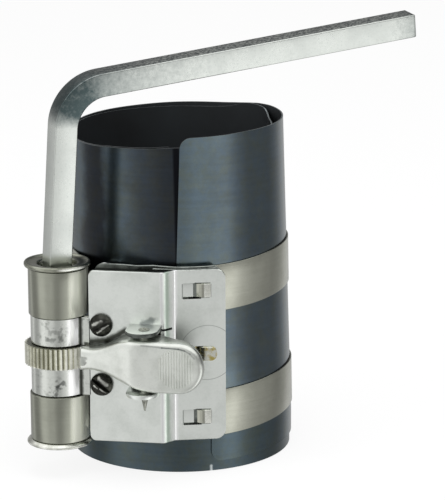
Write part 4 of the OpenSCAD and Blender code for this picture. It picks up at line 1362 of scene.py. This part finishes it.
class RINGCOMPRESSOR_OT_spool(bpy.types.Operator):
    """Builds the spindle, its flanges and the ratchet wheel"""

    bl_idname = "ringcompressor.spool"
    bl_label = "Spool"

    def execute(self, context):
        s = context.scene.ring_compressor_sizes
        at = Matrix.Translation((SPOOL.x, SPOOL.y, 0))
        piece(
            "socket_spindle", painted(eased("socket_spindle", "spindle", 0.2), FINISH["spool"]), "spool",
            "spool_steel", "spindle",
        )
        top = [
            (5.3, 57.32), (8.2, 57.32), (8.72, 57.55), (8.9, 57.95), (8.86, 58.4), (8.66, 58.66), (8.4, 58.7),
            (8.1, 58.52), (7.7, 58.3), (6.6, 58.2), (5.75, 58.2), (5.42, 58.1), (5.3, 57.9), (5.3, 57.32),
        ]
        bottom = [
            (4.05, 8.45), (7.4, 8.42), (8.3, 8.4), (8.7, 8.5), (8.88, 8.75), (8.86, 9.05), (8.62, 9.35),
            (8.3, 9.62), (8.1, 9.78), (4.05, 9.78), (4.05, 8.45),
        ]
        for name, outline, solid, finish in (
            ("dished_top_flange", top, "top_flange", "flange"),
            ("flared_bottom_flange", bottom, "bottom_flange", "rim"),
        ):
            bm = bmesh.new()
            lathe(bm, outline, at, 128)
            piece(name, plated(name, bm, finish), "spool", "spool_steel", solid, angle=50)
        values = {
            "Teeth": s.tooth_count, "Tip": 9.1 * MM, "Depth": s.tooth_depth, "Bore": 6.12 * MM,
            "Height": 5.7 * MM, "Material": FINISH["teeth"],
        }
        wheel = run_tree("ratchet", tooth_tree(), values)
        wheel_foot = 30.7
        wheel.transform(Matrix.Translation(Vector((SPOOL.x, SPOOL.y, wheel_foot)) * MM))
        wheel = two_tone(wheel, "teeth", "spool")
        piece("toothed_ratchet_wheel", wheel, "spool", "spool_steel", "ratchet_wheel")
        return {"FINISHED"}


class RINGCOMPRESSOR_OT_lever(bpy.types.Operator):
    """Presses the release lever with its ribbed thumb pad"""

    bl_idname = "ringcompressor.lever"
    bl_label = "Release lever"

    def execute(self, context):
        s = context.scene.ring_compressor_sizes
        edge, t = s.lever_edge / MM, 1.2
        pad_r, pad_fall = 7.0, -0.4 / 19
        nose_x, knee_x = -20.195, -5.0
        nose_y, rear, front, tip_rear = -41.74, -39.14, PLATE_FRONT - 9.5, -44.92

        def through(knots, x):
            # Smooth line through knots of place, height and slope
            for (x0, z0, m0), (x1, z1, m1) in zip(knots, knots[1:]):
                if x <= x1:
                    d = x1 - x0
                    h = (x - x0) / d
                    bend = (h**3 - 2 * h**2 + h) * d * m0 + (h**3 - h**2) * d * m1
                    return z0 + (3 * h**2 - 2 * h**3) * (z1 - z0) + bend
            return knots[-1][1]

        upper = [(nose_x, 37.15, -0.05), (-16.8, 37.05, 0.05), (-12.5, 38.35, 0.45), (-6.0, 40.7, 0.12)]
        upper += [(-1.5, 40.9, 0), (PAD.x, 40.85, 0)]
        lower = [(nose_x, 30.95, 0.0), (-17, 31.35, 0.0), (-11.5, 30.45, -0.4), (-6.6, 28.45, -0.38)]
        lower += [(-1.3, 27.0, -0.12), (2.5, 26.85, 0), (PAD.x, 26.85, 0)]
        xs = [nose_x + (PAD.x - nose_x) * i / 54 for i in range(55)]
        xs += [PAD.x + pad_r * math.sin(math.pi / 2 * i / 22) for i in range(1, 23)]
        tops, lows = [], []
        for x in xs:
            bulge = math.sqrt(max(pad_r**2 - max(x - PAD.x, 0) ** 2, 0))
            tops.append(Vector((x, through(upper, x) if x <= PAD.x else PAD.y + bulge)))
            lows.append(Vector((x, through(lower, x) if x <= PAD.x else PAD.y - bulge)))
        line = lows + list(reversed(tops[:-1]))
        count = len(line)

        def inset(d):
            made = []
            for i, p in enumerate(line):
                a, b = line[i - 1], line[(i + 1) % count]
                u, v = (p - a).normalized(), (b - p).normalized()
                n = Vector((-(u.y + v.y), u.x + v.x)).normalized()
                stretch = 1 / max(0.5, n.dot(Vector((-u.y, u.x))))
                wider = 1 + 0.6 * within((-4 - p.x) / 6) if p.y > 35 else 1
                made.append(p + n * d * stretch * wider)
            return made

        def face_y(x):
            # The sloping nose blends into the nearly flat pad
            slope = (front - nose_y) / (knee_x - nose_x)
            bend = 0.5 * (math.tanh((x + 5.6) / 1.6) + 1)
            return (1 - bend) * (nose_y + slope * (x - nose_x)) + bend * (front + pad_fall * (x - knee_x))

        def rear_y(x):
            # Deep at the pin, shallow at the thumb pad
            neck = front + 4.4
            if x <= 1.6:
                return rear
            if x <= 6.0:
                return rear + (neck - rear) * (x - 1.6) / 4.4
            return neck + (tip_rear - neck) * (x - 6.0) / 8.0

        # Section through the lip, from the face round the edge and the rear into the channel
        profile = [(edge + 0.5, face_y, 0.0)]
        for i in range(7):
            a = math.pi / 2 * i / 6
            profile.append((edge * (1 - math.sin(a)), face_y, edge * (1 - math.cos(a))))
        profile += [(0.0, rear_y, -0.2), (0.06, rear_y, -0.06), (0.2, rear_y, 0.0), (t - 0.2, rear_y, 0.0)]
        profile += [(t, rear_y, -0.15), (t, face_y, t + 0.7), (t + 0.5, face_y, t)]
        rings = [[(p.x, base(p.x) + y, p.y) for p in inset(d)] for d, base, y in profile]
        bm = bmesh.new()
        rows = loft(bm, rings, closed_ends=False)
        bm.faces.ensure_lookup_table()
        # Faces past the lip, over the rear, in the channel and on the back of the face, take the dark zinc as
        # painted shade
        lip_rows = 11
        for face in bm.faces[lip_rows * count :]:
            face.material_index = 1
        half = len(xs)
        for row in (rows[0], rows[-1]):
            lows, tops = row[:half], [row[-i] for i in range(1, half)] + [row[half - 1]]
            for i in range(half - 1):
                corners = list(dict.fromkeys([lows[i], lows[i + 1], tops[i + 1], tops[i]]))
                if len(corners) > 2:
                    bm.faces.new(corners).material_index = int(row is rows[-1])
        shell = from_bmesh("lever_shell", bm)
        for finish in ("lever", "saddle"):
            shell.materials.append(FINISH[finish])
        cut = bmesh.new()
        lathe(cut, [(0, 24), (1.16, 24), (1.16, 44), (0, 44)], Matrix.Translation((PIN.x, PIN.y, 0)), 32)
        shell = carved("lever_shell", shell, cut)
        centre = Vector((PAD.x - 0.4, face_y(PAD.x) + 0.03, PAD.y)) * MM
        values = {
            "Count": s.rib_count, "Pitch": s.rib_pitch, "Reach": 5.2 * MM, "Bar": 0.3 * MM, "Centre": centre,
            "Slope": pad_fall, "Material": FINISH["lever"],
        }
        ribs = run_tree("thumb_ribs", rib_tree(), values)
        piece(
            "pressed_release_lever", joined("pressed_release_lever", [shell, ribs]), "lever", "zinc_sheet",
            "release_lever", angle=38,
        )
        return {"FINISHED"}


class RINGCOMPRESSOR_OT_pivot(bpy.types.Operator):
    """Turns the lever's pin and winds its return spring"""

    bl_idname = "ringcompressor.pivot"
    bl_label = "Pin and spring"

    def execute(self, context):
        at = Matrix.Translation((PIN.x, PIN.y, 0))
        bm = bmesh.new()
        point = [(0, 20.9), (0.22, 20.95), (1.0, 24.7), (1.1, 24.95)]
        head = [
            (1.1, 43.2), (1.45, 43.22), (1.5, 43.32), (1.3, 43.42), (0.95, 43.4), (0.6, 43.2), (0.35, 43.32),
            (0, 43.36),
        ]
        lathe(bm, point + head, at, 48)
        piece(
            "pointed_pivot_pin", plated("pointed_pivot_pin", bm, "pin"), "frame", "dark_steel", "pivot_pin",
            angle=50,
        )
        points, turns, radius, foot, tall = [], 6, 2, 28.6, 10.5
        for i in range(217):
            share = i / 216
            a = TAU * turns * share
            points.append((PIN.x + radius * math.cos(a), PIN.y + radius * math.sin(a), foot + tall * share))
        wire = ribbon("spring_wire", ribbon_tree(), points, 0.7 * MM, 0.7 * MM, 0.3 * MM, FINISH["dark"])
        piece("coiled_return_spring", wire, "frame", "dark_steel", "return_spring", angle=60)
        return {"FINISHED"}


class RINGCOMPRESSOR_OT_key(bpy.types.Operator):
    """Bends the square key"""

    bl_idname = "ringcompressor.key"
    bl_label = "Key"

    def execute(self, context):
        s = context.scene.ring_compressor_sizes
        side, edge = s.key_side / MM / 2, s.key_edge / MM
        pivot, foot, corner = 52.7, 46.3, 105.5
        radius, rise, arm = 11.5, math.radians(8.2), 100.8
        turn = math.pi / 2 - rise
        reach = radius * math.tan(turn / 2)
        path = [(0, foot - pivot + d, 0.0) for d in (0, 0.1, 0.35, 0.6)]
        path += [(0, foot - pivot + 0.6 + (corner - reach - foot - 0.6) * i / 6, 0.0) for i in range(1, 7)]
        centre = (radius, corner - pivot - reach)
        for i in range(1, 29):
            a = turn * i / 28
            path.append((centre[0] - radius * math.cos(a), centre[1] + radius * math.sin(a), a))
        x0, z0, _ = path[-1]
        along = (math.cos(rise), math.sin(rise))
        span = arm - reach
        reached = [span * i / 10 for i in range(1, 10)] + [span - 1.0, span - 0.35, span - 0.1, span]
        path += [(x0 + along[0] * d, z0 + along[1] * d, turn) for d in reached]
        path = path[:1] + path + path[-1:]
        section = []
        for cx, cy, a0 in ((1, 1, 0), (-1, 1, 90), (-1, -1, 180), (1, -1, 270)):
            for k in range(5):
                a = math.radians(a0 + 90 * k / 4)
                section.append(
                    (cx * (side - edge) + edge * math.cos(a), cy * (side - edge) + edge * math.sin(a))
                )
        place = Matrix.Translation((SPOOL.x - 0.3, SPOOL.y, pivot))
        for degrees, axis in ((3.9, "Y"), (2.4, "X"), (31.7, "Z")):
            place = place @ Matrix.Rotation(math.radians(degrees), 4, axis)
        rings, marking = [], []
        past = 0.0
        for i, (x, z, a) in enumerate(path):
            if a == turn:
                past = math.hypot(x - x0, z - z0)
            share = a / turn
            if share == 1:
                # Fades along the arm, and gathers again at its end
                marking.append(0.62 * math.exp(-past / 15) + 0.42 * max(0, 1 - (span - past) / 9))
            else:
                marking.append(
                    math.sin(math.pi / 2 * min(1, share / 0.32)) - 0.38 * max(0, (share - 0.5) / 0.5) ** 2
                )
            ease = {0: 0.6, 1: 0.9, 2: 0.97}.get(min(i, len(path) - 1 - i), 1.0)
            swell = 0.25 * math.sin(math.pi * a / turn) if 0 < a < turn else 0.0
            ring = []
            for u, v in section:
                # u lies across the bend, its outer side at +u; v lies along the bend's axis and swells inside
                v *= 1 + swell / side * (0.5 - 0.5 * u / side)
                ring.append(
                    place @ Vector((x - u * ease * math.cos(a), v * ease, z + u * ease * math.sin(a)))
                )
            rings.append(ring)
        bm = bmesh.new()
        mark = bm.verts.layers.float.new("bend")
        for row, share in zip(loft(bm, rings), marking):
            for vert in row:
                vert[mark] = share
        piece(
            "bent_square_key", plated("bent_square_key", bm, "key"), "key", "key_steel", "key_handle",
            angle=40,
        )
        return {"FINISHED"}


class RINGCOMPRESSOR_OT_stage(bpy.types.Operator):
    """Sets the floor, the light and the camera"""

    bl_idname = "ringcompressor.stage"
    bl_label = "Stage"

    def execute(self, context):
        scene = context.scene
        scene.view_settings.view_transform = "Standard"
        # Floor: white to the camera, and it keeps a soft shadow of the object
        mesh = bpy.data.meshes.new("floor")
        side, under = 3, -2e-4
        corners = [(x * side, y * side, under) for x, y in ((-1, -1), (1, -1), (1, 1), (-1, 1))]
        mesh.from_pydata(corners, [], [(0, 1, 2, 3)])
        floor = new_object("floor", mesh)
        paper = bpy.data.materials.new("white_paper")
        paper.use_nodes = True
        tree = paper.node_tree
        tree.nodes.clear()
        dull = node(tree, "ShaderNodeBsdfDiffuse", {"Color": (0.92, 0.92, 0.92, 1)})
        glow = node(tree, "ShaderNodeEmission", {"Color": (1, 1, 1, 1), "Strength": 1.0})
        ray = node(tree, "ShaderNodeLightPath")
        seen = node(tree, "ShaderNodeMath", [ray.outputs["Is Camera Ray"], 0.86], operation="MULTIPLY")
        blend = node(tree, "ShaderNodeMixShader", [seen, dull, glow])
        node(tree, "ShaderNodeOutputMaterial", {"Surface": blend})
        painted(mesh, paper)
        floor.visible_glossy = False
        # World: white behind the object; the metal sees white walls with a few darker openings between them
        world = bpy.data.worlds.new("studio")
        scene.world = world
        world.use_nodes = True
        tree = world.node_tree
        tree.nodes.clear()
        way = node(tree, "ShaderNodeTexCoord").outputs["Generated"]
        split = node(tree, "ShaderNodeSeparateXYZ", [way])
        ahead = node(tree, "ShaderNodeMath", [split.outputs["Y"], -1.0], operation="MULTIPLY")
        bearing = node(tree, "ShaderNodeMath", [split.outputs["X"], ahead], operation="ARCTAN2")
        share = node(tree, "ShaderNodeMapRange", [bearing, -math.pi, math.pi])
        walls = node(tree, "ShaderNodeValToRGB", [share])
        stops = walls.color_ramp.elements
        while len(stops) < len(WALL_TONES):
            stops.new(0.5)
        for stop, (degrees, tone) in zip(stops, WALL_TONES):
            stop.position = (degrees + 180) / 360
            stop.color = (tone, tone, tone, 1)
        # Above the floor's reflection lie a darker room and then the bright ceiling
        room = node(tree, "ShaderNodeMapRange", [split.outputs["Y"], -0.3, 0.5, 0.5, 0.18])
        slant = node(tree, "ShaderNodeMapRange", [split.outputs["X"], -0.5, 0.5, 1.9, 0.5])
        room = node(tree, "ShaderNodeMath", [room, slant], operation="MULTIPLY")
        risen = node(
            tree, "ShaderNodeMapRange", [split.outputs["Z"], -0.08, 0.04], interpolation_type="SMOOTHSTEP"
        )
        lower = node(tree, "ShaderNodeMix", {"Factor": risen, 6: walls, 7: room}, data_type="RGBA")
        back = node(tree, "ShaderNodeMath", [split.outputs["Y"], 0.0], operation="MAXIMUM")
        tall = node(tree, "ShaderNodeMath", [back, -0.3, split.outputs["Z"]], operation="MULTIPLY_ADD")
        ceiling = node(tree, "ShaderNodeMapRange", [tall, 0.34, 0.6], interpolation_type="SMOOTHSTEP")
        seen_wall = node(
            tree, "ShaderNodeMix", {"Factor": ceiling, 6: lower, 7: (1.25, 1.25, 1.25, 1)}, data_type="RGBA"
        )
        ray = node(tree, "ShaderNodeLightPath")
        light = node(
            tree, "ShaderNodeMix",
            {"Factor": ray.outputs["Is Glossy Ray"], 6: (0.75, 0.75, 0.75, 1), 7: seen_wall},
            data_type="RGBA",
        )
        plain = node(
            tree, "ShaderNodeMath", [ray.outputs["Is Camera Ray"], ray.outputs["Is Transmission Ray"]],
            operation="MAXIMUM",
        )
        final = node(tree, "ShaderNodeMix", {"Factor": plain, 6: light, 7: (1, 1, 1, 1)}, data_type="RGBA")
        sky = node(tree, "ShaderNodeBackground", {"Color": final, "Strength": 1.0})
        node(tree, "ShaderNodeOutputWorld", {"Surface": sky})
        # Soft boxes: above, and in front on the left
        for name, place, goal, size, power in (
            ("top_box", (0.1, -0.15, 0.75), (0, 0, 0.05), 0.5, 3.0),
            ("left_box", (-0.55, -0.6, 0.45), (-0.01, -0.02, 0.05), 0.35, 2.2),
        ):
            lamp = bpy.data.lights.new(name, "AREA")
            lamp.energy, lamp.size = power, size
            hung = bpy.data.objects.new(name, lamp)
            scene.collection.objects.link(hung)
            hung.location = place
            hung.visible_glossy = False
            hung.rotation_mode = "QUATERNION"
            hung.rotation_quaternion = (Vector(goal) - Vector(place)).to_track_quat("-Z", "Y")
        # Camera: fitted to the sleeve, the bracket and the key, for an image of 445 by 500 pixels
        lens = bpy.data.cameras.new("camera")
        lens.sensor_width = 36
        focus, image = 2759.9, Vector((445, 500))
        lens.lens = focus / image.y * lens.sensor_width
        lens.clip_start, lens.clip_end = 0.05, 20
        eye = bpy.data.objects.new("camera", lens)
        scene.collection.objects.link(eye)
        az, el, roll = -0.172814, 0.247100, -0.008305
        ahead = Vector((math.sin(az) * math.cos(el), math.cos(az) * math.cos(el), -math.sin(el)))
        right = Vector((math.cos(az), -math.sin(az), 0))
        up = right.cross(ahead)
        right, up = right * math.cos(roll) + up * math.sin(roll), up * math.cos(roll) - right * math.sin(roll)
        aim, distance = Vector((-1.302, 0, 53.38)), 762.82
        eye.location = (aim - ahead * distance) * MM
        # The fitted image centre lies left of the frame's, so the camera turns that little to the right
        fitted = Vector((175.55, 252.71))
        off = (image / 2 - fitted) / focus
        ahead = (ahead + right * off.x - up * off.y).normalized()
        right = (right - ahead * right.dot(ahead)).normalized()
        up = right.cross(ahead)
        eye.rotation_mode = "QUATERNION"
        eye.rotation_quaternion = Matrix((right, up, -ahead)).transposed().to_quaternion()
        scene.camera = eye
        return {"FINISHED"}


STEPS = (
    RINGCOMPRESSOR_OT_finishes,
    RINGCOMPRESSOR_OT_sleeve,
    RINGCOMPRESSOR_OT_straps,
    RINGCOMPRESSOR_OT_bracket,
    RINGCOMPRESSOR_OT_screws,
    RINGCOMPRESSOR_OT_spool,
    RINGCOMPRESSOR_OT_lever,
    RINGCOMPRESSOR_OT_pivot,
    RINGCOMPRESSOR_OT_key,
    RINGCOMPRESSOR_OT_stage,
)


class RINGCOMPRESSOR_PT_panel(bpy.types.Panel):
    """Lists the steps, the sizes and the colours"""

    bl_label = "Ring Compressor"
    bl_idname = "RINGCOMPRESSOR_PT_panel"
    bl_space_type = "VIEW_3D"
    bl_region_type = "UI"
    bl_category = "Ring Compressor"

    def draw(self, context):
        for step in STEPS:
            self.layout.operator(step.bl_idname)
        for group in (context.scene.ring_compressor_sizes, context.scene.ring_compressor_colours):
            column = self.layout.column()
            for key in group.bl_rna.properties.keys():
                if key not in ("rna_type", "name"):
                    column.prop(group, key)


CLASSES = (RingCompressorSizes, RingCompressorColours, *STEPS, RINGCOMPRESSOR_PT_panel)


def register():
    for item in CLASSES:
        bpy.utils.register_class(item)
    bpy.types.Scene.ring_compressor_sizes = bpy.props.PointerProperty(type=RingCompressorSizes)
    bpy.types.Scene.ring_compressor_colours = bpy.props.PointerProperty(type=RingCompressorColours)


def unregister():
    del bpy.types.Scene.ring_compressor_colours
    del bpy.types.Scene.ring_compressor_sizes
    for item in reversed(CLASSES):
        bpy.utils.unregister_class(item)


def main():
    register()
    for step in STEPS:
        group, name = step.bl_idname.split(".")
        getattr(getattr(bpy.ops, group), name)()


if __name__ == "__main__":
    main()
